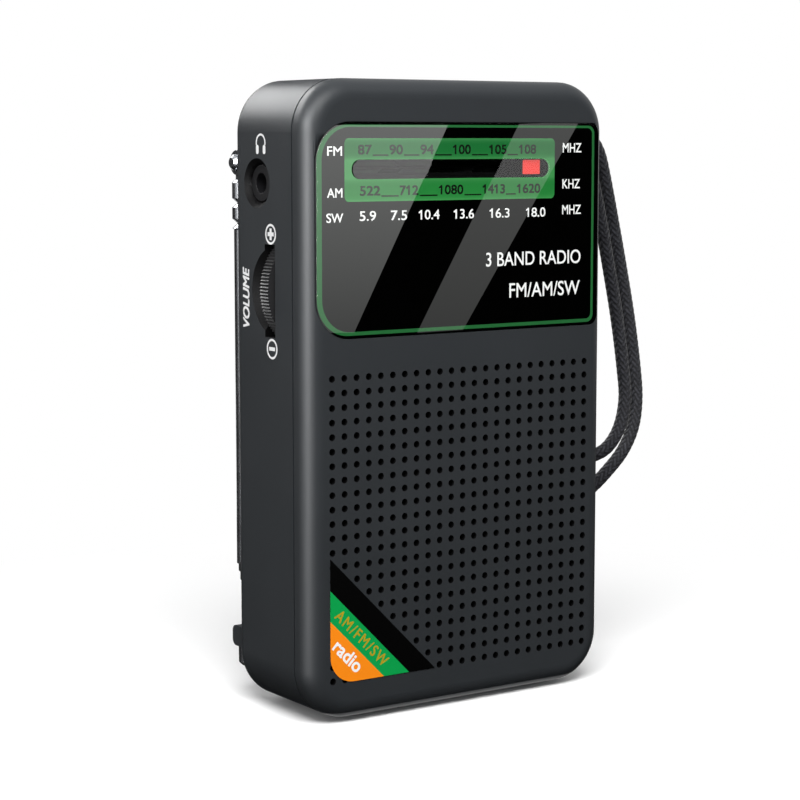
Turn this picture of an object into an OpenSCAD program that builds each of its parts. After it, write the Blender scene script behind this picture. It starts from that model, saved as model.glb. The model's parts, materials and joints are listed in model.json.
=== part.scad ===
// Pocket three-band radio, standing upright. Millimetres.
// X runs to the right, Y to the back and Z up; the origin is under the middle of the radio.

/* [Overall] */
// Width over the two thumbwheels
overall_w = 70; // [64:0.5:77]
// Depth from the lens to the back of the antenna
overall_d = 32; // [29:0.5:35]
// Height from the feet to the top
overall_h = 116; // [105:0.5:127]

/* [Case] */
// How far a thumbwheel stands out of the case
wheel_proud = 1.3; // [1:0.1:1.6]
// How far the antenna stands out behind the case
antenna_stand = 5.8; // [5.6:0.1:6]
// Corner radius seen from the front
corner_r = 9.5; // [8:0.5:10.5]
// Radius of the front edge
front_r = 3.5; // [3:0.1:3.5]
// Radius of the rear edge
rear_r = 3; // [2:0.1:3]
// Thickness of the side and rear walls
wall = 1.8; // [1.6:0.1:2]
// Thickness of the front wall
front_wall = 2; // [1.9:0.1:2.2]
// Distance of the parting line from the front
seam_depth = 5; // [4.6:0.1:5.4]
// Width of the groove at the parting line
seam_gap = 0.4; // [0.3:0.1:0.6]
// Height of the feet
foot_h = 0.7; // [0.5:0.1:1.2]
// Radius of the screw bosses
boss_r = 2.4; // [2.2:0.1:2.6]
// Radius of the case screws
case_screw_r = 0.95; // [0.8:0.05:1]

/* [Dial] */
// Width of the case beside the lens
lens_margin = 1.9; // [1.8:0.1:5]
// Height of the lens
lens_h = 38.3; // [37.5:0.1:39]
// Thickness of the lens
lens_t = 1.4; // [1.2:0.1:1.5]
// How far the lens stands proud of the case
lens_proud = 0.2; // [0.1:0.05:0.3]
// Distance from the top of the case to the lens
lens_drop = 7.7; // [7.4:0.1:8.2]
// Corner radius on the left of the lens
lens_left_r = 7; // [3:0.5:8]
// Corner radius on the right of the lens
lens_right_r = 2; // [1:0.5:4]
// Width of the ledge that carries the lens
lens_ledge = 1.8; // [1.4:0.1:2]
// Distance from the left of the lens to the pointer slot
slot_from_left = 8.5; // [8:0.1:9]
// Distance from the right of the lens to the pointer slot
slot_from_right = 11.1; // [10:0.1:12]
// Height of the pointer slot
slot_h = 3.3; // [3.1:0.1:3.6]
// Width of the pointer's flag
flag_w = 3.9; // [3:0.1:4.2]
// Distance of the pointer at rest from the right end of its slot
pointer_rest = 4; // [3.8:0.1:8]

/* [Grille] */
// Distance from hole to hole
grille_pitch = 2.606; // [2.4:0.01:2.62]
// Diameter of a grille hole
grille_hole_d = 1.25; // [0.9:0.05:1.5]
// Least distance from a hole's centre to the side of the case
grille_margin = 4.2; // [3.6:0.1:5]
// Distance from the lens down to the top row of holes
grille_drop = 6.9; // [6:0.1:8]
// Radius inside which the holes go right through
grille_open_r = 21.5; // [16:0.5:22]

/* [Speaker] */
// Diameter of the speaker
speaker_d = 45; // [42:0.5:45]
// Distance from the top row of holes down to the speaker's centre
speaker_drop = 13.9; // [13.7:0.1:14.3]

/* [Wheels] */
// Thickness of the thumbwheels
wheel_t = 2.7; // [2.2:0.1:2.9]
// Distance of the thumbwheels from the case back
wheel_depth = 14.6; // [14.2:0.1:14.8]
// Diameter of the volume wheel
volume_d = 24; // [22:0.5:25]
// Distance from the top down to the volume wheel's centre
volume_drop = 37.8; // [37:0.1:39]
// Diameter of the tuning wheel
tuning_d = 26; // [25.6:0.1:27]
// Winding radius of the cord drum
drum_r = 9.2; // [8.4:0.1:9.2]
// Radius of the dial cord
cord_r = 0.25; // [0.2:0.05:0.3]
// Number of grips round a wheel
wheel_teeth = 56; // [36:2:72]

/* [Socket and band switch] */
// Distance from the board to the headphone socket's centre
jack_stand = 4; // [3.8:0.1:4.4]
// Distance from the top down to the headphone socket
jack_drop = 18.6; // [18:0.1:19.5]
// Radius of the plug bore
jack_bore_r = 1.8; // [1.75:0.01:1.9]
// Radius of the round recess at the socket
jack_recess_r = 4.5; // [4.2:0.1:4.6]
// Travel of the band switch to each side
band_travel = 3; // [2:0.1:3.2]
// Distance from the top down to the band switch
band_drop = 48; // [47.4:0.1:49]

/* [Antenna] */
// Distance of the antenna from the left side of the case
antenna_inset = 4.9; // [4.5:0.1:5.3]
// Distance from the top down to the antenna's pivot
pivot_drop = 15; // [14:0.1:16]
// Radius of the antenna's root
root_r = 2.6; // [2.45:0.05:2.6]
// Radius of the widest tube
tube_r = 2.3; // [2.2:0.05:2.4]
// Step in radius from tube to tube
tube_step = 0.3; // [0.28:0.01:0.32]
// Clearance between sliding tubes
tube_gap = 0.05; // [0.03:0.01:0.08]
// Height of the antenna's tip above the table
tip_height = 5.8; // [5:0.1:7]

/* [Battery] */
// Space beside a cell, on both sides together
cell_beside = 13.3; // [13.2:0.1:16]
// Clearance round the battery door
door_gap = 0.3; // [0.2:0.05:0.4]

/* [Strap] */
// Diameter of the strap cord
strap_d = 2.6; // [2:0.1:2.8]

/* [Hidden] */
$fn = 48;

charcoal = [0.17, 0.18, 0.19];
steel = [0.62, 0.63, 0.65];
brass = [0.72, 0.58, 0.30];
black = [0.05, 0.05, 0.06];

// Case planes
case_w = overall_w - 2 * wheel_proud;
case_d = overall_d - lens_proud - antenna_stand;
fy = lens_proud - overall_d / 2;
ry = fy + case_d;
hx = case_w / 2;
ix = hx - wall;
inner_front = fy + front_wall;
inner_rear = ry - wall;
bottom = foot_h;
floor_z = bottom + wall;
ceiling_z = overall_h - wall;
cx = hx - corner_r;
cz_low = bottom + corner_r;
cz_high = overall_h - corner_r;

// Tongue and rebate at the parting line
tongue_t = wall * 0.44;
tongue_h = 1.4;
tongue_fit = 0.1;

// Running clearance of pins and the loose clearance of moving faces
run_gap = 0.05;
loose_gap = 0.3;

// How far joined forms of one moulding run into each other
lap = 0.5;

// Dial stack, from the front: lens, plate, chassis
lens_w = case_w - 2 * lens_margin;
lens_front = fy - lens_proud;
lens_back = lens_front + lens_t;
pocket = lens_t - lens_proud;
plate_t = front_wall - pocket;
lens_top = overall_h - lens_drop;
lens_low = lens_top - lens_h;
lens_fit = 0.1;
window_x = lens_w / 2 - lens_ledge;
window_top = lens_top - lens_ledge;
window_low = lens_low + lens_ledge + 1;
window_left_r = max(lens_left_r - lens_ledge, 1);
chassis_t = 1;
chassis_rear = inner_front + chassis_t;
chassis_x = window_x + 1.4;
chassis_low = window_low - 0.5;
chassis_top = window_top + 1.2;
stake_x = window_x + 0.7;
stake_r = 0.45;
slot_x0 = slot_from_left - lens_w / 2;
slot_x1 = lens_w / 2 - slot_from_right;
slot_z = lens_top - 8.15;
pointer_x = slot_x1 - pointer_rest;

// Grille: as many holes as the case takes
grille_columns = 2 * floor((hx - grille_margin) / grille_pitch) + 1;
grille_top = lens_low - grille_drop;
grille_low = bottom + 7;
grille_rows = floor((grille_top - grille_low) / grille_pitch) + 1;

// Thumbwheels
wheel_y0 = ry - wheel_depth;
wheel_y1 = wheel_y0 + wheel_t;
volume_r = volume_d / 2;
volume_x = volume_r - overall_w / 2;
volume_z = overall_h - volume_drop;
tuning_r = tuning_d / 2;
tuning_x = overall_w / 2 - tuning_r;
tuning_z = slot_z - drum_r;
spindle_r = 3;
spindle_l = 3.6;
knurl_h = 0.35;
drum_t = 3.4;
drum_y0 = wheel_y0 - drum_t;
cord_y = wheel_y0 - drum_t / 2;
drum_lip = 0.3;
screw_head_t = 0.8;

// Idler pulley: its top is level with the drum's
idler_r = 2.4;
idler_x = 5.4 - ix;
idler_z = slot_z - idler_r;
idler_bore_r = 1;
pulley_t = 2.8;
belt_reach = norm([tuning_x - idler_x, tuning_z - idler_z]);
belt_line = atan2(idler_z - tuning_z, idler_x - tuning_x);
belt_angle = acos((drum_r - idler_r) / belt_reach);

// Scoops and slots for the wheels
scoop_depth = 1.1;
scoop_front = wheel_y0 - 0.5;
function chord(r, x) = sqrt(r * r - x * x);
volume_slot = chord(volume_r, ix + volume_x) + loose_gap;
tuning_slot = chord(tuning_r, ix - tuning_x) + loose_gap;

// Board and what stands on it
board_t = 1.2;
board_y0 = inner_rear - 3.2;
board_y1 = board_y0 + board_t;
board_x = ix - 0.9;
board_high = overall_h - 11.5;
board_low = board_high - 42.5;
board_post_r = 2;
board_screw_r = 0.8;
board_screw_at = [[-12, board_low + 4], [12, board_low + 4], [0, board_high - 2.6]];
part_y = wheel_y1 + 0.9;

// Headphone socket
jack_y = board_y0 - jack_stand;
jack_z = overall_h - jack_drop;
jack_barrel_r = jack_recess_r - 1.2;
jack_face = -hx + 0.9;
jack_w = 7;
jack_l = 12;

// Band switch
band_y = board_y0 - 3.8;
band_z = overall_h - band_drop;
band_stem = [2, 2.4];
band_slot = band_travel + band_stem[1] / 2 + loose_gap;
band_cap = [1, 5, 4.6];

// Case screws
boss_x = cx - 3.7;
boss_at = [for (s = [-1, 1]) each [[s * boss_x, overall_h - 5.6], [s * (ix - 3.3), board_low - 5]]];
boss_split = fy + 13;
screw_seat = ry - 8;
head_r = case_screw_r * 2;

// Speaker
speaker_r = speaker_d / 2;
speaker_z = grille_top - speaker_drop;
cloth_t = 0.3;
flange_y0 = inner_front + cloth_t;
flange_t = 1;
basket_back = flange_y0 + flange_t + 5;
cone_r = speaker_r - 3;
basket_t = 0.8;
neck_r = speaker_r * 0.38;
magnet_r = speaker_r * 0.42;
magnet_t = 5.5;
clip_reach = speaker_r + 2.4;
clip_angles = [30, 150, 270];
clip_post_r = 1.5;

// Battery bay, to the right of the antenna: it takes the largest cells that fit
bay_wall = 1;
bay_low = cz_low - 3;
cell_d = min(case_d - 11.5, (speaker_z - bay_low - 13) / 2);
cell_l = 2 * ix - cell_beside;
bay_x1 = ix - 2.2;
bay_x0 = bay_x1 - cell_l - 3.7;
bay_high = bay_low + 2 * cell_d + 1.4;
cell_y = inner_rear - 0.25 - cell_d / 2;
bay_front = cell_y - cell_d / 2 - 0.3;
cell_z = [bay_low + 0.4 + cell_d / 2, bay_high - 0.4 - cell_d / 2];
door_pin_r = 0.6;
door_pin_l = 0.7;
door_r = wall / 2;
door_axis_y = ry - door_r;
door_axis_z = bay_low + door_gap + door_r;
door_top = bay_high - door_gap;
contact_t = 0.4;
contact_half = cell_d / 2 - 1.85;
spring_r = cell_d / 2 - 2.65;

// Antenna
antenna_x = antenna_inset - hx;
antenna_y = overall_d / 2 - root_r;
pivot_z = overall_h - pivot_drop;
tang_t = 2.1;
ear_t = 0.9;
ear_gap = 0.1;
ear_r = root_r - 0.3;
rivet_r = 0.8;
rivet_head_r = 1.45;
rivet_head_t = 1.1;
base_r = root_r + 0.3;
base_y0 = ry + 0.1;
base_t = 0.6;
spigot_r = 1.5;
root_top = pivot_z - ear_r - 0.9;
root_low = pivot_z - 12.4;
rod_low = tip_height;
tube_low = [rod_low + 19.7, rod_low + 18.2, rod_low + 16.5, rod_low + 13.6];
tube_travel = root_low - tube_low[0] - 11.1;
tube_l = tube_travel + 7;
tip_l = 4.2;
tip_r = tube_r - 0.2;
function tube_out(i) = tube_r - i * tube_step;
function tube_in(i) = tube_out(i + 1) + tube_gap;
rest_x = antenna_x - tube_out(1) - 0.4;

// Strap: the path is chosen by hand, from the mouth of the upper hole out, down, round the loop and back
strap_r = strap_d / 2;
strap_hole_r = strap_r + loose_gap;
strap_mouth = [hx - 0.3, fy + 9, overall_h - 9.7];
strap_path = [
  [-1.9, 0, 0], [0, 0, 0], [3.2, 0, -0.6], [5.5, 0, -3.1], [7, 0, -7.3], [9.3, 0, -16.3],
  [11.7, 0, -26.3], [13.9, 0, -36.3], [15.6, 0, -46.3], [16.2, 0, -52.7], [15.4, 0, -58.3], [12.8, 0, -63],
  [9, 0.2, -66.8], [5.6, 1.2, -70.1], [3.4, 3.8, -72.9], [2.5, 7.2, -74.6], [2.2, 11.3, -74.9], [2.2, 15.2, -73.4],
  [2.2, 16.7, -69.7], [2.2, 15.2, -65.9], [2.2, 11.3, -64.3], [2.5, 7.2, -64.3], [3.4, 3.6, -64.2], [5.8, 1, -63.6],
  [9, 0.1, -61.9], [11.9, 0, -58.1], [13.2, 0, -52.5], [12.6, 0, -46.3], [10.9, 0, -36.3], [8.7, 0, -26.3],
  [6.3, 0, -16.3], [4.1, 0, -8.3], [2.5, 0, -4.9], [0, 0, -3.9], [-1.9, 0, -3.9]
];
strap_route = [for (p = strap_path) strap_mouth + p];
knot_r = 1.8;
knot_l = 3;
knot_gap = 0.1;

// Solids along the three axes
module block(low, high) translate(low) cube(high - low);
module rod_x(x0, x1, y, z, r) translate([x0, y, z]) rotate([0, 90, 0]) cylinder(h = x1 - x0, r = r);
module rod_y(x, z, y0, y1, r) translate([x, y0, z]) rotate([-90, 0, 0]) cylinder(h = y1 - y0, r = r);
module rod_z(x, y, z0, z1, r) translate([x, y, z0]) cylinder(h = z1 - z0, r = r);
module slab(y0, y1) translate([0, y1, 0]) rotate([90, 0, 0]) linear_extrude(y1 - y0) children();
module slab_x(x0, x1) translate([x0, 0, 0]) rotate([90, 0, 90]) linear_extrude(x1 - x0) children();
module turned_y(x, z) translate([x, 0, z]) rotate([-90, 0, 0]) rotate_extrude() children();
module turned_x(y, z) translate([0, y, z]) rotate([0, 90, 0]) rotate_extrude() children();

// A rectangle with a radius of its own at each corner: right top, left top, left low, right low
module corner_waste(r) difference() {
  square([r + 1, r + 1]);
  circle(r);
}
module rounded(x0, x1, z0, z1, r) difference() {
  translate([x0, z0]) square([x1 - x0, z1 - z0]);
  translate([x1 - r[0], z1 - r[0]]) corner_waste(r[0]);
  translate([x0 + r[1], z1 - r[1]]) rotate(90) corner_waste(r[1]);
  translate([x0 + r[2], z0 + r[2]]) rotate(180) corner_waste(r[2]);
  translate([x1 - r[3], z0 + r[3]]) rotate(270) corner_waste(r[3]);
}
module case_outline(inset) rounded(inset - hx, hx - inset, bottom + inset, overall_h - inset,
                                   [for (i = [0:3]) corner_r - inset]);

// Sweeps an edge profile round the case: its X is the reach from the corner centre, its Y the depth
module round_the_case() {
  for (c = [[1, cz_low, 0], [1, cz_high, -90], [-1, cz_low, 90], [-1, cz_high, 180]])
    translate([c[0] * cx, fy, c[1]]) rotate([0, c[2], 0]) rotate([-90, 0, 0])
      rotate_extrude(angle = 90) children();
  for (side = [0, 1]) mirror([side, 0, 0])
    translate([cx, fy, cz_low]) linear_extrude(cz_high - cz_low) children();
  translate([cx, fy, cz_high]) rotate([0, -90, 0]) linear_extrude(2 * cx) children();
  translate([-cx, fy, cz_low]) rotate([0, 90, 0]) linear_extrude(2 * cx) children();
}

// A tube swept along points, with rings that turn as little as they can
function unit(v) = v / norm(v);
function spline(p, i, t) = let (a = p[max(i - 1, 0)], b = p[i], c = p[i + 1], d = p[min(i + 2, len(p) - 1)])
  0.5 * (2 * b + (c - a) * t + (2 * a - 5 * b + 4 * c - d) * t * t + (3 * b - a - 3 * c + d) * t * t * t);
function smooth(p, steps) = concat([for (i = [0:len(p) - 2], s = [0:steps - 1]) spline(p, i, s / steps)],
                                   [p[len(p) - 1]]);
function headings(p) = [for (i = [0:len(p) - 1]) unit(p[min(i + 1, len(p) - 1)] - p[max(i - 1, 0)])];
function sides_of(h, start) = [for (i = 0, n = start; i < len(h); i = i + 1,
  n = i < len(h) ? unit(n - (n * h[i]) * h[i]) : n) unit(n - (n * h[i]) * h[i])];
module swept(p, r, sides, start) {
  h = headings(p);
  n = sides_of(h, start);
  last = (len(p) - 1) * sides;
  points = [for (i = [0:len(p) - 1], k = [0:sides - 1]) let (a = 360 * k / sides)
    p[i] + r * (cos(a) * n[i] + sin(a) * cross(h[i], n[i]))];
  walls = [for (i = [0:len(p) - 2], k = [0:sides - 1])
    let (a = i * sides + k, b = i * sides + (k + 1) % sides)
    each [[a, a + sides, b], [b, a + sides, b + sides]]];
  ends = [for (k = [1:sides - 2]) each [[0, k, k + 1], [last, last + k + 1, last + k]]];
  polyhedron(points, concat(walls, ends));
}

// Front case
module front_edge() difference() {
  translate([corner_r - front_r - lap, 0]) square([front_r + lap, seam_depth - seam_gap / 2]);
  translate([corner_r - front_r - 1, front_wall]) square([front_r + 1 - wall, seam_depth]);
  translate([corner_r - wall - 1, seam_depth - seam_gap / 2 - tongue_h - tongue_fit])
    square([1 + tongue_t + tongue_fit, seam_depth]);
  translate([corner_r - front_r, front_r]) mirror([0, 1]) corner_waste(front_r);
}
module lens_outline(grow) rounded(-lens_w / 2 - grow, lens_w / 2 + grow, lens_low - grow, lens_top + grow,
  [lens_right_r + grow, lens_left_r + grow, lens_left_r + grow, lens_right_r + grow]);
module window_outline(inset) rounded(inset - window_x, window_x - inset, window_low + inset, window_top - inset,
  [1, window_left_r, window_left_r, 1]);
function grille_x(column) = (column - (grille_columns - 1) / 2) * grille_pitch;
function grille_z(row) = grille_top - row * grille_pitch;
function hole_is_open(x, z) = norm([x, z - speaker_z]) < grille_open_r;
module grille_holes(open_only) for (column = [0:grille_columns - 1], row = [0:grille_rows - 1])
  let (x = grille_x(column), z = grille_z(row))
    if (!open_only || hole_is_open(x, z)) translate([x, z]) circle(d = grille_hole_d, $fn = 16);
module at_clips() for (a = clip_angles)
  translate([clip_reach * cos(a), 0, speaker_z + clip_reach * sin(a)]) children();

module front_case() color(charcoal) difference() {
  union() {
    round_the_case() front_edge();
    slab(fy, fy + pocket) difference() {
      case_outline(front_r);
      grille_holes(false);
    }
    slab(fy + pocket, inner_front) difference() {
      case_outline(front_r);
      grille_holes(true);
    }
    for (p = boss_at) rod_y(p[0], p[1], inner_front - lap, boss_split, boss_r - 0.2);
    at_clips() rod_y(0, 0, inner_front - lap, flange_y0 + flange_t, clip_post_r);
    for (x = [-stake_x, stake_x], z = [window_low + 2.5, window_top - 6])
      rod_y(x, z, inner_front - lap, chassis_rear + 0.4, stake_r);
  }
  slab(fy - 1, fy + pocket) lens_outline(lens_fit);
  slab(fy, inner_front + lap) window_outline(0);
  for (p = boss_at) rod_y(p[0], p[1], inner_front + 1, boss_split + 1, case_screw_r + run_gap);
}

// Rear case
module rear_edge() {
  difference() {
    translate([corner_r - rear_r - lap, seam_depth + seam_gap / 2])
      square([rear_r + lap, case_d - seam_depth - seam_gap / 2]);
    translate([corner_r - rear_r - 1, 0]) square([rear_r + 1 - wall, case_d - wall]);
    translate([corner_r - rear_r, case_d - rear_r]) corner_waste(rear_r);
  }
  translate([corner_r - wall, seam_depth + seam_gap / 2 - tongue_h]) square([tongue_t, tongue_h]);
}
module door_outline(inset) rounded(bay_x0 + inset, bay_x1 - inset, bay_low + inset, bay_high - inset,
  [for (i = [0:3]) door_gap]);
module wheel_scoop(side, z, half) {
  block([side > 0 ? ix - 1 : -hx - 1, scoop_front, z - half],
        [side > 0 ? hx + 1 : 1 - ix, wheel_y1 + loose_gap, z + half]);
  intersection() {
    translate([side * hx, scoop_front, z]) rotate([0, -90 * side, 0])
      cylinder(h = scoop_depth, r1 = half - 0.3, r2 = half - 1.6);
    block([side * hx - 2, scoop_front, z - half], [side * hx + 2, scoop_front + half, z + half]);
  }
}
module strap_hole(at, next) let (d = unit(next - at), turn = atan2(d[0], d[2]))
  translate(next - 3.5 * d) rotate([0, turn, 0]) cylinder(h = 7, r = strap_hole_r);
module bay_walls() difference() {
  block([bay_x0 - bay_wall, bay_front - bay_wall, floor_z - lap],
        [bay_x1 + bay_wall, inner_rear + lap, bay_high + bay_wall]);
  block([bay_x0, bay_front, bay_low], [bay_x1, inner_rear + 1, bay_high]);
}
rest_t = 1.8;
rest_low = rod_low + 4.6;
rest_h = 3.9;
module antenna_rest() slab_x(rest_x - rest_t, rest_x)
  rounded(inner_rear, ry + 2.4, rest_low, rest_low + rest_h, [1.2, 0.1, 0.1, 1.2]);
foot_x = cx - 4.2;
module feet() for (x = [-foot_x, foot_x], y = [fy + 8, ry - 5]) translate([0, y, 0])
  linear_extrude(foot_h + 0.2) rounded(x - 3, x + 3, -1.2, 1.2, [1, 1, 1, 1]);

module rear_case() color(charcoal) difference() {
  union() {
    round_the_case() rear_edge();
    slab(inner_rear, ry) difference() {
      case_outline(rear_r);
      door_outline(0);
    }
    bay_walls();
    for (p = boss_at) rod_y(p[0], p[1], boss_split, inner_rear + lap, boss_r);
    for (p = board_screw_at) rod_y(p[0], p[1], board_y1, inner_rear + lap, board_post_r);
    antenna_rest();
    feet();
  }
  for (p = boss_at) {
    rod_y(p[0], p[1], boss_split - 1, ry + 1, case_screw_r + 0.2);
    rod_y(p[0], p[1], screw_seat, ry + 1, head_r + 0.2);
  }
  for (p = board_screw_at) rod_y(p[0], p[1], board_y1 - 1, inner_rear + 0.6, board_screw_r + run_gap);
  wheel_scoop(-1, volume_z, volume_slot);
  wheel_scoop(1, tuning_z, tuning_slot);
  rod_x(-hx - 1, 1 - ix, jack_y, jack_z, jack_barrel_r + 0.2);
  translate([-hx, jack_y, jack_z]) rotate([0, 90, 0])
    cylinder(h = 1, r1 = jack_recess_r, r2 = jack_barrel_r + 0.2);
  block([ix - 1, band_y - band_stem[0] / 2 - loose_gap, band_z - band_slot],
        [hx + 1, band_y + band_stem[0] / 2 + loose_gap, band_z + band_slot]);
  rod_y(antenna_x, pivot_z, inner_rear - 1, ry + 1, spigot_r + run_gap);
  for (x = [bay_x0 - door_pin_l - 0.2, bay_x1 - 0.5])
    rod_x(x, x + door_pin_l + 0.7, door_axis_y, door_axis_z, door_pin_r + run_gap);
  strap_hole(strap_route[0], strap_route[1]);
  strap_hole(strap_route[len(strap_route) - 1], strap_route[len(strap_route) - 2]);
}

// Battery door: a plate that swings on two pins at its lower edge
module door_profile() {
  translate([door_axis_y, door_axis_z]) circle(door_r);
  translate([door_axis_y - door_r, door_axis_z]) square([wall, door_top - door_axis_z]);
}
module battery_door() color(charcoal) difference() {
  union() {
    translate([bay_x0 + door_gap, 0, 0]) rotate([90, 0, 90]) linear_extrude(bay_x1 - bay_x0 - 2 * door_gap)
      door_profile();
    for (x = [bay_x0 - door_pin_l, bay_x1 - door_gap])
      rod_x(x, x + door_pin_l + door_gap, door_axis_y, door_axis_z, door_pin_r);
  }
  for (i = [0:3]) let (z = door_top - 3.2 - i * 1.6)
    block([(bay_x0 + bay_x1) / 2 - 6, ry - 0.5, z], [(bay_x0 + bay_x1) / 2 + 6, ry + 1, z + 0.8]);
}

module case_screws() color(steel) for (p = boss_at) difference() {
  union() {
    rod_y(p[0], p[1], screw_seat, screw_seat + 1.6, head_r);
    rod_y(p[0], p[1], boss_split - 7, screw_seat, case_screw_r);
  }
  for (turn = [0, 90]) translate([p[0], screw_seat + 1.6, p[1]]) rotate([0, turn, 0])
    block([-1.2, -0.7, -0.25], [1.2, 1, 0.25]);
}

// A thin triangle of film on the lower left corner of the grille
sticker_t = 0.12;
sticker_x = 1 - hx + front_r;
sticker_low = bottom + 7.2;
sticker_side = 22.4;
module corner_sticker() color([0.95, 0.55, 0.12]) slab(fy - sticker_t, fy) intersection() {
  rounded(sticker_x, sticker_x + sticker_side, sticker_low, sticker_low + sticker_side, [0.1, 0.1, 5, 0.1]);
  polygon([[sticker_x - 1, sticker_low - 1], [sticker_x + sticker_side + 1, sticker_low - 1],
           [sticker_x - 1, sticker_low + sticker_side + 1]]);
}

// Dial
module dial_lens() color([0.55, 0.60, 0.60, 0.4]) slab(lens_front, lens_back) lens_outline(0);
module pointer_slot() rounded(slot_x0, slot_x1, slot_z - slot_h / 2, slot_z + slot_h / 2,
  [for (i = [0:3]) slot_h / 2 - 0.1]);
module dial_plate() color([0.10, 0.45, 0.25]) slab(lens_back, inner_front) difference() {
  window_outline(lens_fit);
  pointer_slot();
}
module dial_chassis() color(black) slab(inner_front, chassis_rear) difference() {
  rounded(-chassis_x, chassis_x, chassis_low, chassis_top, [1, 4, 4, 1]);
  rounded(slot_x0 + 0.6, slot_x1 - 0.6, slot_z - 0.9, slot_z + 1.2, [0.5, 0.5, 0.5, 0.5]);
  for (x = [-stake_x, stake_x], z = [window_low + 2.5, window_top - 6]) translate([x, z]) circle(stake_r + run_gap);
  translate([idler_x, idler_z]) circle(0.7);
}
flag_h = slot_h - 0.6;
flag_t = plate_t - 0.3;
clip_half = 0.8;
clip_under = 0.45;
module pointer() color([0.85, 0.12, 0.08]) {
  block([pointer_x - flag_w / 2, lens_back + 0.15, slot_z - flag_h / 2],
        [pointer_x + flag_w / 2, lens_back + 0.15 + flag_t, slot_z + flag_h / 2]);
  block([pointer_x - 0.6, lens_back + 0.15 + flag_t, slot_z - 0.3], [pointer_x + 0.6, cord_y - clip_half, slot_z + 0.9]);
  difference() {
    block([pointer_x - clip_half, cord_y - clip_half, slot_z - clip_under],
          [pointer_x + clip_half, cord_y + clip_half, slot_z + 1.1]);
    rod_x(pointer_x - 2, pointer_x + 2, cord_y, slot_z, cord_r + run_gap);
  }
}

// Dial cord: from the pointer round the pulley, back under to the drum, round it and back to the pointer
function cord_turn(x, z, r, from, sweep, steps) = [for (i = [0:steps]) let (a = from + sweep * i / steps)
  [x + r * cos(a), cord_y, z + r * sin(a)]];
cord_route = concat(
  [[pointer_x - 0.1, cord_y, slot_z]],
  cord_turn(idler_x, idler_z, idler_r, belt_line - belt_angle, 2 * belt_angle, 14),
  cord_turn(tuning_x, tuning_z, drum_r, belt_line + belt_angle, 360 - 2 * belt_angle, 20),
  [[pointer_x + 0.1, cord_y, slot_z]]);
module dial_cord() color([0.85, 0.83, 0.75]) swept(cord_route, cord_r, 8, [0, 1, 0]);
module idler_pulley() color([0.85, 0.85, 0.82]) turned_y(idler_x, idler_z) translate([0, cord_y]) polygon([
  [idler_bore_r + run_gap, -pulley_t / 2], [idler_r + 0.5, -pulley_t / 2], [idler_r + 0.5, -0.9],
  [idler_r - 0.4, -0.4], [idler_r - 0.4, 0.4], [idler_r + 0.5, 0.9], [idler_r + 0.5, pulley_t / 2],
  [idler_bore_r + run_gap, pulley_t / 2]]);
module idler_pin() color(steel) turned_y(idler_x, idler_z) polygon([
  [0, inner_front], [0.65, inner_front], [0.65, chassis_rear], [idler_bore_r + 0.8, chassis_rear],
  [idler_bore_r + 0.8, cord_y - pulley_t / 2 - 0.15], [idler_bore_r, cord_y - pulley_t / 2 - 0.15],
  [idler_bore_r, cord_y + pulley_t / 2 + 0.15], [idler_bore_r + 0.6, cord_y + pulley_t / 2 + 0.15],
  [idler_bore_r + 0.6, cord_y + pulley_t / 2 + 0.8], [0, cord_y + pulley_t / 2 + 0.8]]);

// Thumbwheels: a gripped rim, a dished face and a spindle that runs in the part behind
module gripped(r) polygon([for (i = [0:wheel_teeth - 1]) let (step = 360 / wheel_teeth, a = i * step)
  each [for (p = [[0, r - knurl_h], [0.2, r], [0.55, r], [0.75, r - knurl_h]])
    p[1] * [cos(a + p[0] * step), sin(a + p[0] * step)]]]);
module thumbwheel(x, z, r) difference() {
  union() {
    translate([x, 0, z]) slab(wheel_y0, wheel_y1) gripped(r);
    rod_y(x, z, wheel_y1, wheel_y1 + spindle_l, spindle_r);
  }
  turned_y(x, z) translate([0, wheel_y1]) polygon([[spindle_r + 1, -0.8], [r - 2.6, -0.8], [r - 1.8, 1],
                                                  [spindle_r + 1, 1]]);
  rod_y(x, z, wheel_y0 - 1, wheel_y1 + spindle_l - 0.8, 0.9);
}
module wheel_screw(x, z, seat) difference() {
  union() {
    rod_y(x, z, seat - screw_head_t, seat, 1.8);
    rod_y(x, z, seat, wheel_y1 + 1.6, 0.85);
  }
  translate([x, seat - screw_head_t, z]) block([-1.4, -1, -0.2], [1.4, 0.4, 0.2]);
}
module tuning_wheel() color(black) thumbwheel(tuning_x, tuning_z, tuning_r);
module tuning_drum() color([0.88, 0.88, 0.84]) turned_y(tuning_x, tuning_z) translate([0, drum_y0]) polygon([
  [0.9, 0], [drum_r + drum_lip, 0], [drum_r + drum_lip, drum_t / 2 - 0.8], [drum_r - 0.35, drum_t / 2 - 0.4],
  [drum_r - 0.35, drum_t / 2 + 0.4], [drum_r + drum_lip, drum_t / 2 + 0.8], [drum_r + drum_lip, drum_t],
  [0.9, drum_t]]);
module tuning_screw() color(steel) wheel_screw(tuning_x, tuning_z, drum_y0);
module tuning_capacitor() color([0.80, 0.82, 0.85]) difference() {
  slab(part_y, board_y0) rounded(tuning_x - 9.2, tuning_x + 9.2, tuning_z - 9, tuning_z + 9, [1, 1, 1, 1]);
  rod_y(tuning_x, tuning_z, part_y - 1, wheel_y1 + spindle_l + loose_gap, spindle_r + run_gap);
}
module volume_wheel() color(black) thumbwheel(volume_x, volume_z, volume_r);
module volume_screw() color(steel) wheel_screw(volume_x, volume_z, wheel_y0);
control_r = 8;
control_reach = 10.4;
control_base_t = 1.6;
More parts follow.
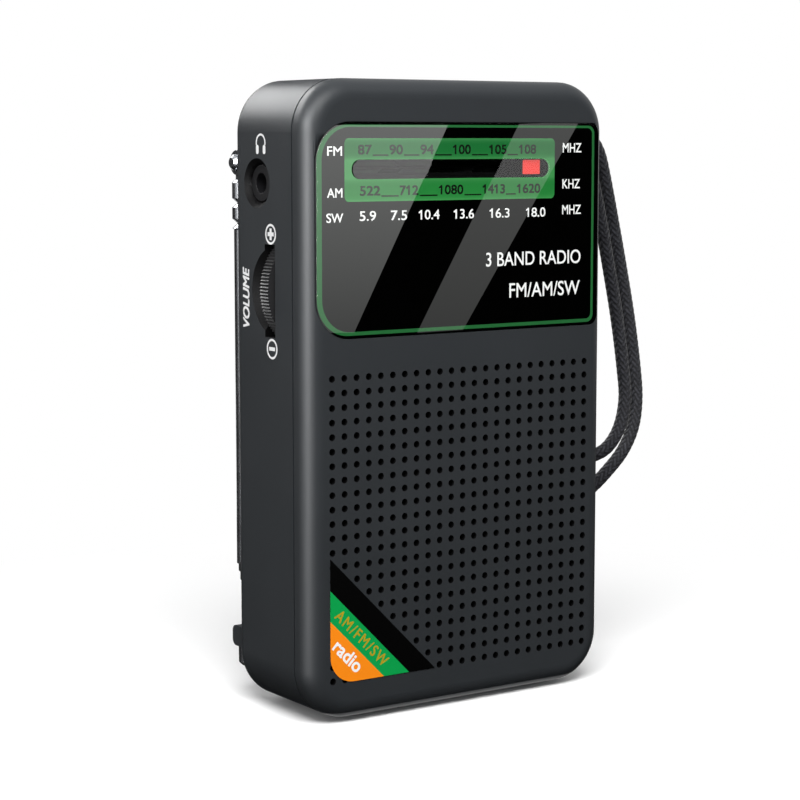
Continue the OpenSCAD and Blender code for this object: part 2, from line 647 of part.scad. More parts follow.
module volume_control() color(steel) difference() {
  union() {
    rod_y(volume_x, volume_z, part_y, board_y0, control_r);
    for (i = [-1:1]) block([volume_x + control_reach - 2, board_y0 - control_base_t, volume_z + 4 * i - 0.5],
                           [volume_x + control_reach, board_y0, volume_z + 4 * i + 0.5]);
    block([volume_x, board_y0 - control_base_t, volume_z - 5],
          [volume_x + control_reach - 2, board_y0, volume_z + 5]);
  }
  rod_y(volume_x, volume_z, part_y - 1, wheel_y1 + spindle_l + loose_gap, spindle_r + run_gap);
}

// Band switch: a ribbed cap outside, a stem through the wall and the switch body behind it
band_body_x = ix - 0.4;
module band_knob() color(black) difference() {
  union() {
    slab_x(hx + 0.1, hx + 0.1 + band_cap[0]) translate([band_y, band_z])
      rounded(-band_cap[1] / 2, band_cap[1] / 2, -band_cap[2] / 2, band_cap[2] / 2, [0.6, 0.6, 0.6, 0.6]);
    block([band_body_x - 1.5, band_y - band_stem[0] / 2, band_z - band_stem[1] / 2],
          [hx + 0.1, band_y + band_stem[0] / 2, band_z + band_stem[1] / 2]);
  }
  for (i = [-1:1]) block([hx + 0.1 + band_cap[0] - 0.4, band_y - 3, band_z + i * 1.3 - 0.3],
                         [hx + 2, band_y + 3, band_z + i * 1.3 + 0.3]);
}
module band_switch() color(steel) difference() {
  block([band_body_x - 5, band_y - 2.6, band_z - 5.6], [band_body_x, board_y0, band_z + 5.6]);
  block([band_body_x - 1.5 - loose_gap, band_y - band_stem[0] / 2 - 0.1, band_z - band_slot],
        [band_body_x + 1, band_y + band_stem[0] / 2 + 0.1, band_z + band_slot]);
}

module headphone_socket() color(black) difference() {
  union() {
    rod_x(jack_face, loose_gap - ix, jack_y, jack_z, jack_barrel_r);
    block([loose_gap - ix, jack_y - jack_w / 2, jack_z - jack_w / 2],
          [loose_gap - ix + jack_l, board_y0, jack_z + jack_w / 2]);
  }
  rod_x(jack_face - 1, loose_gap - ix + jack_l - 1, jack_y, jack_z, jack_bore_r);
}

// Board
module main_board() color([0.12, 0.38, 0.20]) slab(board_y0, board_y1) difference() {
  rounded(-board_x, board_x, board_low, board_high, [3, 3, 1, 1]);
  for (p = board_screw_at) translate(p) circle(board_screw_r + 0.3);
}
module board_screws() color(steel) for (p = board_screw_at) {
  rod_y(p[0], p[1], board_y0 - 1, board_y0, 1.7);
  rod_y(p[0], p[1], board_y0, inner_rear, board_screw_r);
}
chip_l = 11;
chip_w = 4;
chip_mid = [-2.5, board_high - 16.5];
chip_pins = 9;
pin_pitch = 1.25;
pin_w = 0.4;
pin_l = 1;
module radio_chip() color(black) translate([chip_mid[0], board_y0, chip_mid[1]]) {
  block([-chip_l / 2, -2, -chip_w / 2], [chip_l / 2, -0.3, chip_w / 2]);
  for (i = [0:chip_pins - 1], side = [0, 1]) mirror([0, 0, side])
    translate([(i - (chip_pins - 1) / 2) * pin_pitch - pin_w / 2 + 0.1, 0, chip_w / 2])
      block([0, -1.2, 0], [pin_w, 0, pin_l]);
}
can_w = 7;
can_h = 6;
can_pitch = 8.6;
can_core_r = 1.8;
can_x0 = volume_x + control_reach + 0.5;
can_z0 = board_high - 33.5;
module if_cans() color(steel) for (i = [0:2]) translate([can_x0 + i * can_pitch, board_y0, can_z0]) difference() {
  block([0, -can_h, 0], [can_w, 0, can_w]);
  rod_y(can_w / 2, can_w / 2, -can_h - 1, -can_h + 2, can_core_r);
}
electrolytic_at = [[-9, -8.5, 2.5], [-2.6, -7.5, 3], [4.4, -8.1, 2.5], [6.6, -20.5, 2]];
module electrolytic_capacitors() color([0.12, 0.16, 0.30]) for (p = electrolytic_at)
  rod_y(p[0], board_high + p[1], board_y0 - 2.2 * p[2], board_y0, p[2]);
rod_r = 3.2;
rod_y_at = board_y0 - 3.8;
rod_z_at = board_high + rod_r + 1.4;
rod_half = boss_x - boss_r - 2.6;
module ferrite_rod() color([0.20, 0.20, 0.21]) rod_x(-rod_half, rod_half, rod_y_at, rod_z_at, rod_r);
module ferrite_coil() color([0.72, 0.38, 0.18]) difference() {
  rod_x(-7, 5, rod_y_at, rod_z_at, rod_r + 0.5);
  rod_x(-8, 6, rod_y_at, rod_z_at, rod_r + 0.02);
}
module rod_holders() color([0.85, 0.85, 0.82]) for (x = [-12, 9]) difference() {
  block([x, rod_y_at - rod_r - 0.8, board_high - 5], [x + 3, board_y0, rod_z_at + rod_r * 0.6]);
  rod_x(x - 1, x + 4, rod_y_at, rod_z_at, rod_r + run_gap);
  block([x - 1, rod_y_at - rod_r - 2, board_high - 6], [x + 4, board_y0 - 2, board_high - 1]);
}

// Speaker
module speaker_basket() color(steel) turned_y(0, speaker_z) polygon([
  [cone_r, flange_y0], [speaker_r, flange_y0], [speaker_r, flange_y0 + flange_t],
  [cone_r + basket_t, flange_y0 + flange_t], [neck_r + basket_t, basket_back], [3, basket_back],
  [3, basket_back - basket_t], [neck_r, basket_back - basket_t], [cone_r, flange_y0 + flange_t]]);
module speaker_cone() color([0.14, 0.14, 0.15]) turned_y(0, speaker_z) polygon([
  [cone_r - 0.3, flange_y0 + 0.2], [cone_r - 1.5, flange_y0 + 0.9], [5.5, basket_back - 2.4],
  [4, basket_back - 2.9], [0, basket_back - 3.6], [0, basket_back - 3.2], [4, basket_back - 2.5],
  [5.5, basket_back - 1.9], [cone_r - 1.3, flange_y0 + 1.4], [cone_r - 0.3, flange_y0 + 0.7]]);
module speaker_magnet() color(steel) {
  rod_y(0, speaker_z, basket_back, basket_back + magnet_t, magnet_r);
  for (s = [-1, 1]) block([s * 8 - 1, basket_back, speaker_z + magnet_r - 3],
                          [s * 8 + 1, basket_back + 0.6, speaker_z + magnet_r]);
}
module speaker_cloth() color(black) rod_y(0, speaker_z, inner_front, flange_y0, speaker_r);
module speaker_clips() color(steel) for (a = clip_angles) translate([0, 0, speaker_z]) rotate([0, -a, 0])
  block([speaker_r - 1.6, flange_y0 + flange_t, -2.5], [clip_reach + 2.4, flange_y0 + flange_t + 0.8, 2.5]);

// Leads
solder_gap = 0.2;
lead_r = 0.4;
lead_spread = cell_l - 10.5;
module speaker_leads() color([0.75, 0.10, 0.10]) for (s = [-1, 1]) swept(smooth([
  [s * 10, basket_back + 1, speaker_z + 8], [s * 10.4, basket_back + 3, speaker_z + 9],
  [s * 11, board_y0 - 6, board_low - 2], [s * 11, board_y0 - 3, board_low + 1],
  [s * 9, board_y0 - 1, board_low + 1.6], [s * 9, board_y0 - solder_gap, board_low + 1.6]], 3), lead_r, 6, [0, 0, 1]);
module battery_leads() color([0.10, 0.10, 0.10]) for (s = [0, 1]) swept(smooth([
  [bay_x0 + 6 + s * lead_spread, bay_front + 3, bay_high + bay_wall + solder_gap],
  [bay_x0 + 6 + s * lead_spread, bay_front + 3, bay_high + 4],
  [bay_x0 + 8 + s * (lead_spread - 4), board_y0 - 3, board_low - 14],
  [bay_x0 + 9 + s * (lead_spread - 8), board_y0 - 2, board_low - 2],
  [bay_x0 + 9 + s * (lead_spread - 8), board_y0 - 1, board_low + 1],
  [bay_x0 + 9 + s * (lead_spread - 8), board_y0 - solder_gap, board_low + 1]], 3),
  lead_r, 6, [1, 0, 0]);

// Battery
spring_x = bay_x0 + contact_t;
cell_x0 = spring_x + 2.7;
cell_r = cell_d / 2;
module battery_cells() color([0.55, 0.45, 0.20]) for (z = cell_z) turned_x(cell_y, z) translate([0, cell_x0])
  polygon([[0, 0], [cell_r - 0.4, 0], [cell_r, 0.4], [cell_r, cell_l - 2], [cell_r - 0.6, cell_l - 1.4],
           [2.8, cell_l - 1.2], [2.7, cell_l], [0, cell_l]]);
spring_turns = 3.5;
function spring_point(t, z) = let (r = spring_r - 2 * t, a = 360 * spring_turns * t)
  [spring_x + 0.5 + 1.9 * t, cell_y + r * cos(a), z + r * sin(a)];
module battery_springs() color(steel) for (z = cell_z)
  swept([for (i = [0:8 * spring_turns]) spring_point(i / (8 * spring_turns), z)], 0.2, 6, [1, 0, 0]);
module battery_contacts() color(brass) for (z = cell_z, x = [bay_x0, bay_x1 - contact_t])
  block([x, cell_y - contact_half, z - contact_half], [x + contact_t, cell_y + contact_half, z + contact_half]);

// Antenna
module antenna_base() color(steel) {
  rod_y(antenna_x, pivot_z, base_y0, base_y0 + base_t, base_r);
  rod_y(antenna_x, pivot_z, inner_rear - 1.6, base_y0, spigot_r);
  difference() {
    for (s = [-1, 1]) let (x = antenna_x + s * (tang_t / 2 + ear_gap) - (s < 0 ? ear_t : 0)) slab_x(x, x + ear_t) {
      translate([antenna_y, pivot_z]) circle(ear_r);
      polygon([[base_y0 + base_t, pivot_z - ear_r + 0.2], [antenna_y, pivot_z - ear_r + 0.1],
               [antenna_y, pivot_z + ear_r - 0.1], [base_y0 + base_t, pivot_z + ear_r - 0.2]]);
    }
    rod_x(antenna_x - 5, antenna_x + 5, antenna_y, pivot_z, rivet_r);
  }
}
module antenna_washer() color(brass) difference() {
  rod_y(antenna_x, pivot_z, inner_rear - 1.3, inner_rear - 0.2, spigot_r + 1.3);
  rod_y(antenna_x, pivot_z, inner_rear - 2, inner_rear + 1, spigot_r);
}
fork_half = tang_t / 2 + ear_gap + ear_t;
module antenna_rivet() color(steel) {
  rod_x(antenna_x - fork_half, antenna_x + fork_half, antenna_y, pivot_z, rivet_r);
  turned_x(antenna_y, pivot_z) polygon([[0, antenna_x - fork_half], [rivet_head_r, antenna_x - fork_half],
    [rivet_head_r, antenna_x - fork_half - 0.6], [rivet_head_r - 0.5, antenna_x - fork_half - rivet_head_t],
    [0, antenna_x - fork_half - rivet_head_t]]);
  rod_x(antenna_x + fork_half, antenna_x + fork_half + 0.5, antenna_y, pivot_z, rivet_head_r - 0.2);
}
groove = 0.9;
function groove_points(z) = [[root_r, z + groove], [root_r - groove, z + 0.1], [root_r - groove, z - 0.1],
                             [root_r, z - groove + 0.1]];
module antenna_root() color(steel) {
  difference() {
    slab_x(antenna_x - tang_t / 2, antenna_x + tang_t / 2) {
      translate([antenna_y, pivot_z]) circle(ear_r - 0.1);
      polygon([[antenna_y - ear_r + 0.3, root_top], [antenna_y + ear_r - 0.3, root_top],
               [antenna_y + ear_r - 0.3, pivot_z], [antenna_y - ear_r + 0.3, pivot_z]]);
    }
    rod_x(antenna_x - 5, antenna_x + 5, antenna_y, pivot_z, rivet_r + run_gap);
  }
  translate([antenna_x, antenna_y, 0]) rotate_extrude() polygon(concat([[0, root_top], [root_r - 0.5, root_top],
    [root_r, root_top - 0.5]], groove_points(root_low + 4.9), groove_points(root_low + 1.1),
    [[tube_r, root_low], [0, root_low]]));
}
module tube(i, low, high) difference() {
  rod_z(antenna_x, antenna_y, low, high, tube_out(i));
  rod_z(antenna_x, antenna_y, low - 1, high + 1, tube_in(i));
}
module antenna_tube_1() color(steel) tube(0, tube_low[0], root_low);
module antenna_tube_2() color(steel) tube(1, tube_low[1], tube_low[1] + tube_l);
module antenna_tube_3() color(steel) tube(2, tube_low[2], tube_low[2] + tube_l);
module antenna_tube_4() color(steel) tube(3, tube_low[3], tube_low[3] + tube_l);
module antenna_rod() color(steel) rod_z(antenna_x, antenna_y, rod_low + tip_l, tube_low[3] + tube_l - 2, tube_out(4));
module antenna_tip() color(steel) translate([antenna_x, antenna_y, rod_low]) rotate_extrude() polygon([
  [0, 0], [tip_r - 0.6, 0], [tip_r, 0.6], [tip_r, tip_l - 0.5], [tip_r - 0.5, tip_l], [0, tip_l]]);

// Strap
module wrist_strap() color(black) swept(smooth(strap_route, 2), strap_r, 8, [0, 1, 0]);
module knot(at, next) let (d = unit(at - next), turn = atan2(d[0], d[2]))
  translate(at + knot_gap * d) rotate([0, turn, 0]) rotate_extrude() polygon([[0, 0], [strap_r, 0], [knot_r, 0.6],
    [knot_r, knot_l - 0.6], [strap_r, knot_l], [0, knot_l]]);
module strap_knots() color(black) {
  knot(strap_route[0], strap_route[1]);
  knot(strap_route[len(strap_route) - 1], strap_route[len(strap_route) - 2]);
}

front_case();
rear_case();
battery_door();
case_screws();
corner_sticker();
dial_lens();
dial_plate();
dial_chassis();
pointer();
dial_cord();
idler_pulley();
idler_pin();
tuning_wheel();
tuning_drum();
tuning_screw();
tuning_capacitor();
volume_wheel();
volume_screw();
volume_control();
band_knob();
band_switch();
headphone_socket();
main_board();
board_screws();
radio_chip();
if_cans();
electrolytic_capacitors();
ferrite_rod();
ferrite_coil();
rod_holders();
speaker_basket();
speaker_cone();
speaker_magnet();
speaker_cloth();
speaker_clips();
speaker_leads();
battery_cells();
battery_springs();
battery_contacts();
battery_leads();
antenna_base();
antenna_washer();
antenna_rivet();
antenna_root();
antenna_tube_1();
antenna_tube_2();
antenna_tube_3();
antenna_tube_4();
antenna_rod();
antenna_tip();
wrist_strap();
strap_knots();
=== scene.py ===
# %% [markdown]
# A pocket radio with three bands stands on a pale table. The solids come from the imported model, and this
# lesson dresses them: grained plastic, a glossy dial lens with its print, a sticker, small white signs,
# a braided wrist strap and a chromed antenna. Everything is in metres, in the frame of the solids,
# and the small sizes are written in millimetres and multiplied by MM.

# %% Load the solids
import json
import math
from contextlib import contextmanager

import bpy
import numpy as np
from mathutils import Matrix, Vector

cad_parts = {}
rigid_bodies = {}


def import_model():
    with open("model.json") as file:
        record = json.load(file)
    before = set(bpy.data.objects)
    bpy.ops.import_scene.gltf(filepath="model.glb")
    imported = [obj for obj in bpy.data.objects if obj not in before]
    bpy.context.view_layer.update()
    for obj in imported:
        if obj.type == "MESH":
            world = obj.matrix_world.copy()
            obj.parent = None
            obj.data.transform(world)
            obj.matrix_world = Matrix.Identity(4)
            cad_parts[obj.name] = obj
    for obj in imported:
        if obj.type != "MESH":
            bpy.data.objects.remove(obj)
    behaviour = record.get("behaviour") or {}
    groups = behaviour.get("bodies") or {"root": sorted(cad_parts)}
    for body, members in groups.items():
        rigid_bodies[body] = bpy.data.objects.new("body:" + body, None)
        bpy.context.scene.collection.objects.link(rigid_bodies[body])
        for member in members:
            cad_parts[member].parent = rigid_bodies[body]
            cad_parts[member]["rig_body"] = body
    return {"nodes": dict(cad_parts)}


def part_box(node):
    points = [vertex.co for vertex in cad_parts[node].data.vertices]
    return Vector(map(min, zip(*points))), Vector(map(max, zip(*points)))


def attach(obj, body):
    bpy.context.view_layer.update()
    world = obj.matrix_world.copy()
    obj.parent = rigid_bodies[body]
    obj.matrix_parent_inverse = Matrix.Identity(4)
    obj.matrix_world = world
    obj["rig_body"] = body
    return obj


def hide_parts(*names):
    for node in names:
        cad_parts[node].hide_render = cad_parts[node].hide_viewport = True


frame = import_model()
bpy.ops.object.select_all(action="DESELECT")
nodes = frame["nodes"]
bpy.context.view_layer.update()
MM = 0.001

# %% [markdown]
# The camera comes first, because it decides what is worth modelling. It stands to the left of the radio, a
# little above the dial, and its long lens keeps the case's edges nearly parallel. The place and the focal
# length could be set by eye. They were solved from the holes of the grille, which are evenly spaced on
# a flat face and so work like a ruler.

# %% The camera
IMAGE = 800
SENSOR = 36.0
FOCAL = 97.73
TURN = math.radians(34.384)
DIP = math.radians(6.776)
EYE = Vector((-234.37, -337.72, 104.79)) * MM

bpy.ops.object.camera_add(location=EYE, rotation=(math.pi / 2 - DIP, 0, -TURN))
camera = bpy.context.object
camera.data.sensor_width = SENSOR
camera.data.lens = FOCAL
camera.data.clip_start = 0.01
bpy.context.scene.camera = camera
bpy.context.scene.view_settings.view_transform = "Standard"
print("camera at", [round(v, 4) for v in camera.location])

# %% [markdown]
# The strap is a round braid that leaves the right side through one hole and comes back through another.
# A simulation could hang it. The loop is short and its lie is known, so its points are listed one by one,
# and a spline through them is cut into equal steps.

# %% The strap's route
STRAP_D = 2.6 * MM
SPAN_STEPS = 24
RING_STEP = 0.15 * MM
strap_mm = [
    (31.5, -6.8, 106.3), (33.4, -6.8, 106.3), (36.6, -6.8, 105.7), (38.9, -6.8, 103.2), (40.4, -6.8, 99),
    (42.7, -6.8, 90), (45.1, -6.8, 80), (47.3, -6.8, 70), (49, -6.8, 60), (49.6, -6.8, 53.6),
    (48.8, -6.8, 48), (46.2, -6.8, 43.3), (42.4, -6.6, 39.5), (39, -5.6, 36.2), (36.8, -3, 33.4),
    (35.9, 0.4, 31.7), (35.6, 4.5, 31.4), (35.6, 8.4, 32.9), (35.6, 9.9, 36.6), (35.6, 8.4, 40.4),
    (35.6, 4.5, 42), (35.9, 0.4, 42), (36.8, -3.2, 42.1), (39.2, -5.8, 42.7), (42.4, -6.7, 44.4),
    (45.3, -6.8, 48.2), (46.6, -6.8, 53.8), (46, -6.8, 60), (44.3, -6.8, 70), (42.1, -6.8, 80),
    (39.7, -6.8, 90), (37.5, -6.8, 98), (35.9, -6.8, 101.4), (33.4, -6.8, 102.4), (31.5, -6.8, 102.4),
]


def smooth_route(points, steps):
    """A spline through every point, with steps to each span."""
    p = np.array(points)
    p = np.vstack([2 * p[0] - p[1], p, 2 * p[-1] - p[-2]])
    t = np.arange(steps)[:, None] / steps
    spans = []
    for a, b, c, d in zip(p, p[1:], p[2:], p[3:]):
        square = 2 * a - 5 * b + 4 * c - d
        cube = 3 * b - a - 3 * c + d
        spans.append(0.5 * (2 * b + (c - a) * t + square * t**2 + cube * t**3))
    return np.vstack(spans + [p[-2:-1]])


def even_steps(points, step):
    """The same line, cut into equal steps, and the distance of each point along it."""
    reach = np.concatenate([[0], np.cumsum(np.linalg.norm(np.diff(points, axis=0), axis=1))])
    at = np.linspace(0, reach[-1], round(reach[-1] / step) + 1)
    return np.stack([np.interp(at, reach, points[:, k]) for k in range(3)], axis=1), at


strap_line, strap_at = even_steps(smooth_route(np.array(strap_mm) * MM, SPAN_STEPS), RING_STEP)
print("strap:", len(strap_line), "rings,", round(strap_at[-1] / MM, 1), "mm long")

# %% [markdown]
# A curve with a bevel would give a smooth hose. Here the tube is a mesh whose rings follow the strap's
# route and whose skin rises and sinks with the crossing yarns, so that the edge of the cord is knobbly
# as on a real braid. Its UV map counts yarns round the cord and stitches along it, and the finish
# reads that map.

# %% The braided tube
SIDES = 32
YARNS = 8
STITCH = 1.35 * MM
YARN_SINK = 0.12


def braided_tube(name, line, at, radius):
    """A closed tube along a line, with the bumps of crossing yarns and a UV map of yarns and stitches."""
    ahead = np.gradient(line, axis=0)
    ahead /= np.linalg.norm(ahead, axis=1)[:, None]
    side = np.zeros_like(line)
    side[0] = (0, 1, 0)
    for i in range(len(line)):
        start = side[max(i - 1, 0)]
        side[i] = start - ahead[i] * (start @ ahead[i])
        side[i] /= np.linalg.norm(side[i])
    other = np.cross(ahead, side)
    turn = 2 * np.pi * np.arange(SIDES) / SIDES
    round_count = YARNS * np.arange(SIDES)[None, :] / SIDES
    long_count = (at / STITCH)[:, None]
    left, right = round_count + long_count, round_count - long_count
    left_on_top = np.mod(np.floor(left) + np.floor(right), 4) < 2
    height = np.where(left_on_top, np.abs(np.sin(np.pi * left)), np.abs(np.sin(np.pi * right)))
    grow = radius * (1 - YARN_SINK + YARN_SINK * np.sqrt(height))
    skin = line[:, None, :] + grow[:, :, None] * (
        np.cos(turn)[None, :, None] * side[:, None, :] + np.sin(turn)[None, :, None] * other[:, None, :])
    rings = len(line)
    corners = np.arange(rings * SIDES).reshape(rings, SIDES)
    beside = np.roll(corners, -1, axis=1)
    quads = np.stack([corners[:-1], beside[:-1], beside[1:], corners[1:]], axis=-1).reshape(-1, 4)
    ends = [corners[0][::-1].tolist(), corners[-1].tolist()]
    mesh = bpy.data.meshes.new(name)
    mesh.from_pydata(skin.reshape(-1, 3).tolist(), [], quads.tolist() + ends)
    u = round_count[:, :, None] + YARNS / SIDES * np.array([0, 1, 1, 0])
    v = np.stack([long_count[:-1]] * 2 + [long_count[1:]] * 2, axis=-1)
    on_quads = np.stack(np.broadcast_arrays(u, v), axis=-1).reshape(-1)
    uv = np.zeros(2 * len(mesh.loops))
    uv[: on_quads.size] = on_quads
    mesh.uv_layers.new(name="braid").data.foreach_set("uv", uv)
    piece = bpy.data.objects.new(name, mesh)
    bpy.context.collection.objects.link(piece)
    return piece


def only(piece):
    """Selects one object and makes it the active one."""
    bpy.ops.object.select_all(action="DESELECT")
    piece.select_set(True)
    bpy.context.view_layer.objects.active = piece
    return piece


@contextmanager
def editing(select=None):
    """Edit mode on the active object, with all, none or what was picked before of its mesh selected."""
    bpy.ops.object.mode_set(mode="EDIT")
    if select:
        bpy.ops.mesh.select_all(action=select)
    yield
    bpy.ops.object.mode_set(mode="OBJECT")


strap = only(braided_tube("braided_strap", strap_line, strap_at, STRAP_D / 2))
with editing("SELECT"):
    bpy.ops.mesh.normals_make_consistent(inside=False)
bpy.ops.object.shade_smooth()
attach(strap, "case")
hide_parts("wrist_strap")
print("braid:", len(strap.data.polygons), "faces")

# %% [markdown]
# A finish is a small graph of nodes. Drawing each graph by hand is slow and hard to read, so one class wraps
# a socket and turns Python sums into Math nodes.

# %% Sockets that can be used in sums


class Sock:
    """An output socket that can be used in sums."""

    def __init__(self, graph, socket):
        self.graph = graph
        self.socket = socket

    def sum(self, kind, *others):
        """A Math node of that kind on this socket and the others."""
        return self.graph.node("ShaderNodeMath", {"operation": kind}, dict(enumerate((self,) + others)))

    def part(self, axis):
        """One coordinate of a vector: X, Y or Z."""
        return self.graph.node("ShaderNodeSeparateXYZ", inputs={0: self}, output=axis)

    def __add__(self, other):
        return self.sum("ADD", other)

    __radd__ = __add__

    def __sub__(self, other):
        return self.sum("SUBTRACT", other)

    def __rsub__(self, other):
        return self.graph.node("ShaderNodeMath", {"operation": "SUBTRACT"}, {0: other, 1: self})

    def __mul__(self, other):
        return self.sum("MULTIPLY", other)

    __rmul__ = __mul__

    def __truediv__(self, other):
        return self.sum("DIVIDE", other)

    def __abs__(self):
        return self.sum("ABSOLUTE")

    def __lt__(self, other):
        return self.sum("LESS_THAN", other)

    def __gt__(self, other):
        return self.sum("GREATER_THAN", other)

    def most(self, other):
        return self.sum("MAXIMUM", other)

    def least(self, other):
        return self.sum("MINIMUM", other)

    def held(self):
        return self.most(0.0).least(1.0)


print("sums ready")

# %% [markdown]
# One method adds any other node to a tree, and a finish adds the few nodes that every material here needs.
# What changes over a surface feeds only the sockets that can be baked, and plain numbers are set on the
# shader itself.

# %% Classes for finishes


class Graph:
    """A tree of nodes, all added by one method."""

    def __init__(self, tree):
        self.tree = tree

    def node(self, kind, settings=None, inputs=None, output=0):
        """Adds a node of a type, with its settings and the values or links of its sockets."""
        made = self.tree.nodes.new(kind)
        for key, value in (settings or {}).items():
            setattr(made, key, value)
        for key, value in (inputs or {}).items():
            if isinstance(value, Sock):
                self.tree.links.new(value.socket, made.inputs[key])
            else:
                made.inputs[key].default_value = value
        return Sock(self, made.outputs[output])


class Finish(Graph):
    """A material built from a Principled shader and a few nodes."""

    def __init__(self, name, **plain):
        self.material = bpy.data.materials.new(name)
        self.material.use_nodes = True
        super().__init__(self.material.node_tree)
        self.shader = self.tree.nodes["Principled BSDF"]
        for socket, value in plain.items():
            self.shader.inputs[socket.replace("_", " ")].default_value = value

    def feed(self, socket, value):
        """Links a value to a socket of the Principled shader."""
        self.tree.links.new(value.socket, self.shader.inputs[socket])

    def cover(self, shader):
        """Puts another shader on the surface."""
        self.tree.links.new(shader.socket, self.tree.nodes["Material Output"].inputs["Surface"])

    def place(self):
        """Object coordinates in millimetres."""
        spot = self.node("ShaderNodeTexCoord", output="Object")
        return self.node("ShaderNodeVectorMath", {"operation": "SCALE"}, {0: spot, "Scale": 1 / MM})

    def noise(self, where, scale, detail=2.0):
        return self.node("ShaderNodeTexNoise", inputs={"Vector": where, "Scale": scale, "Detail": detail})

    def blend(self, factor, low, high):
        """A colour between two others."""
        return self.node("ShaderNodeMix", {"data_type": "RGBA"}, {0: factor, 6: low, 7: high}, output=2)

    def bump(self, height, strength, depth):
        """Raises the surface by a depth in millimetres where the height is one."""
        levels = {"Height": height, "Strength": strength, "Distance": depth * MM}
        self.feed("Normal", self.node("ShaderNodeBump", inputs=levels))


def grey(value):
    return (value, value, value, 1.0)


def tint(colour, share=1.0):
    """A colour with its alpha, made darker or lighter by a share."""
    return tuple(share * v for v in colour) + (1.0,)


def wear(piece, finish):
    """Puts a finish on an object in place of what it had."""
    piece.data.materials.clear()
    piece.data.materials.append(finish.material)


print("finishes ready")

# %% [markdown]
# The case is dark polystyrene with a fine spark-eroded grain. A flat grey would look like paper, so the
# grain is a bump of about a quarter of a millimetre, the gloss varies a little where hands have rubbed it,
# and the colour drifts by a few per cent. The knobs and wheels are the same plastic in a blacker mix. The
# insides of holes and hollows, where no light comes out again, get an almost black plastic as painted shade.

# %% Grained plastics
GRAIN_DEPTH = 0.010


def grained_plastic(name, colour, rough, grain=4.0, specular=0.3):
    """A moulded or pressed material. grain is about how many bumps there are to a millimetre."""
    made = Finish(name, Specular_IOR_Level=specular)
    where = made.place()
    fine = made.noise(where, grain, 3.0)
    cloud = made.noise(where, 0.05)
    made.feed("Base Color", made.blend(cloud, tint(colour, 0.90), tint(colour, 1.10)))
    made.feed("Roughness", rough - 0.05 + 0.08 * cloud + 0.04 * fine)
    made.bump(fine, 0.35, GRAIN_DEPTH)
    return made


case_plastic = grained_plastic("case_plastic", (0.0230, 0.0258, 0.0287), 0.42, specular=0.17)
# Almost black and nearly without gloss: painted shade for the insides of holes and hollows and for the parts
# behind the dial's window
painted_shade_plastic = grained_plastic("painted_shade_plastic", (0.0018, 0.0018, 0.0020), 0.60, specular=0.04)
black_plastic = grained_plastic("black_plastic", (0.006, 0.006, 0.007), 0.38, specular=0.25)
wheel_plastic = grained_plastic("wheel_plastic", (0.013, 0.013, 0.014), 0.45, specular=0.22)
sleeve_plastic = grained_plastic("capacitor_sleeve", (0.006, 0.008, 0.020), 0.40)
board_lacquer = grained_plastic("board_lacquer", (0.008, 0.036, 0.015), 0.45, grain=1.2)
lead_red = grained_plastic("lead_red", (0.45, 0.02, 0.02), 0.40)
lead_black = grained_plastic("lead_black", (0.015, 0.015, 0.015), 0.40)
paper_cone = grained_plastic("paper_cone", (0.02, 0.02, 0.021), 0.85, grain=2.0)
sintered = grained_plastic("ferrite", (0.035, 0.034, 0.035), 0.65, grain=6.0)
print("plastics ready")

# %% [markdown]
# The antenna is drawn brass tube, chromed and a little dulled, so it shows long fine draw lines and soft
# reflections. The springs, screws and cans inside are plain or blued steel, the battery contacts are brass.
# One helper makes them all: a metal whose roughness is streaked along one direction.

# %% Metals
DRAWN = (3.0, 3.0, 0.05)
WOUND = (8.0, 0.1, 0.1)
EVEN = (1.0, 1.0, 1.0)


def drawn_metal(name, colour, rough, stretch=EVEN):
    """A bare or plated metal. Its streaks run along the axis on which stretch is small."""
    made = Finish(name, Metallic=1.0)
    where = made.place()
    streaked = made.node("ShaderNodeVectorMath", {"operation": "MULTIPLY"}, {0: where, 1: stretch})
    streak = made.noise(streaked, 2.0, 3.0)
    smudge = made.noise(where, 0.18)
    made.feed("Base Color", made.blend(smudge, tint(colour, 0.85), tint(colour)))
    made.feed("Roughness", rough - 0.06 + 0.08 * streak + 0.08 * smudge)
    made.bump(streak, 0.12, 0.01)
    return made


antenna_chrome = drawn_metal("antenna_chrome", (0.40, 0.41, 0.43), 0.22, DRAWN)
steel = drawn_metal("steel", (0.55, 0.56, 0.58), 0.30)
blued_steel = drawn_metal("blued_steel", (0.03, 0.03, 0.036), 0.45)
brass = drawn_metal("brass", (0.70, 0.52, 0.24), 0.30)
copper = drawn_metal("copper_wire", (0.62, 0.28, 0.13), 0.32, WOUND)
print("metals ready")

# %% [markdown]
# Cloth hides behind the speaker holes, and the two cells show when the battery door hangs open. A woven
# cloth is two crossing waves. A cell's wrap is a printed sleeve: black with a coppery end, in bands along
# its length, which is the width of the radio, and bare metal shows at both ends.

# %% Cloth and cell wrap
WEAVE_RATE = 9.0
cloth = Finish("speaker_cloth", Roughness=0.95, Specular_IOR_Level=0.1)
where = cloth.place()
weave = (where.part("X") * WEAVE_RATE).sum("SINE") * (where.part("Z") * WEAVE_RATE).sum("SINE")
cloth.feed("Base Color", cloth.blend(0.5 + 0.5 * weave, grey(0.003), grey(0.009)))
cloth.bump(weave, 0.5, 0.05)

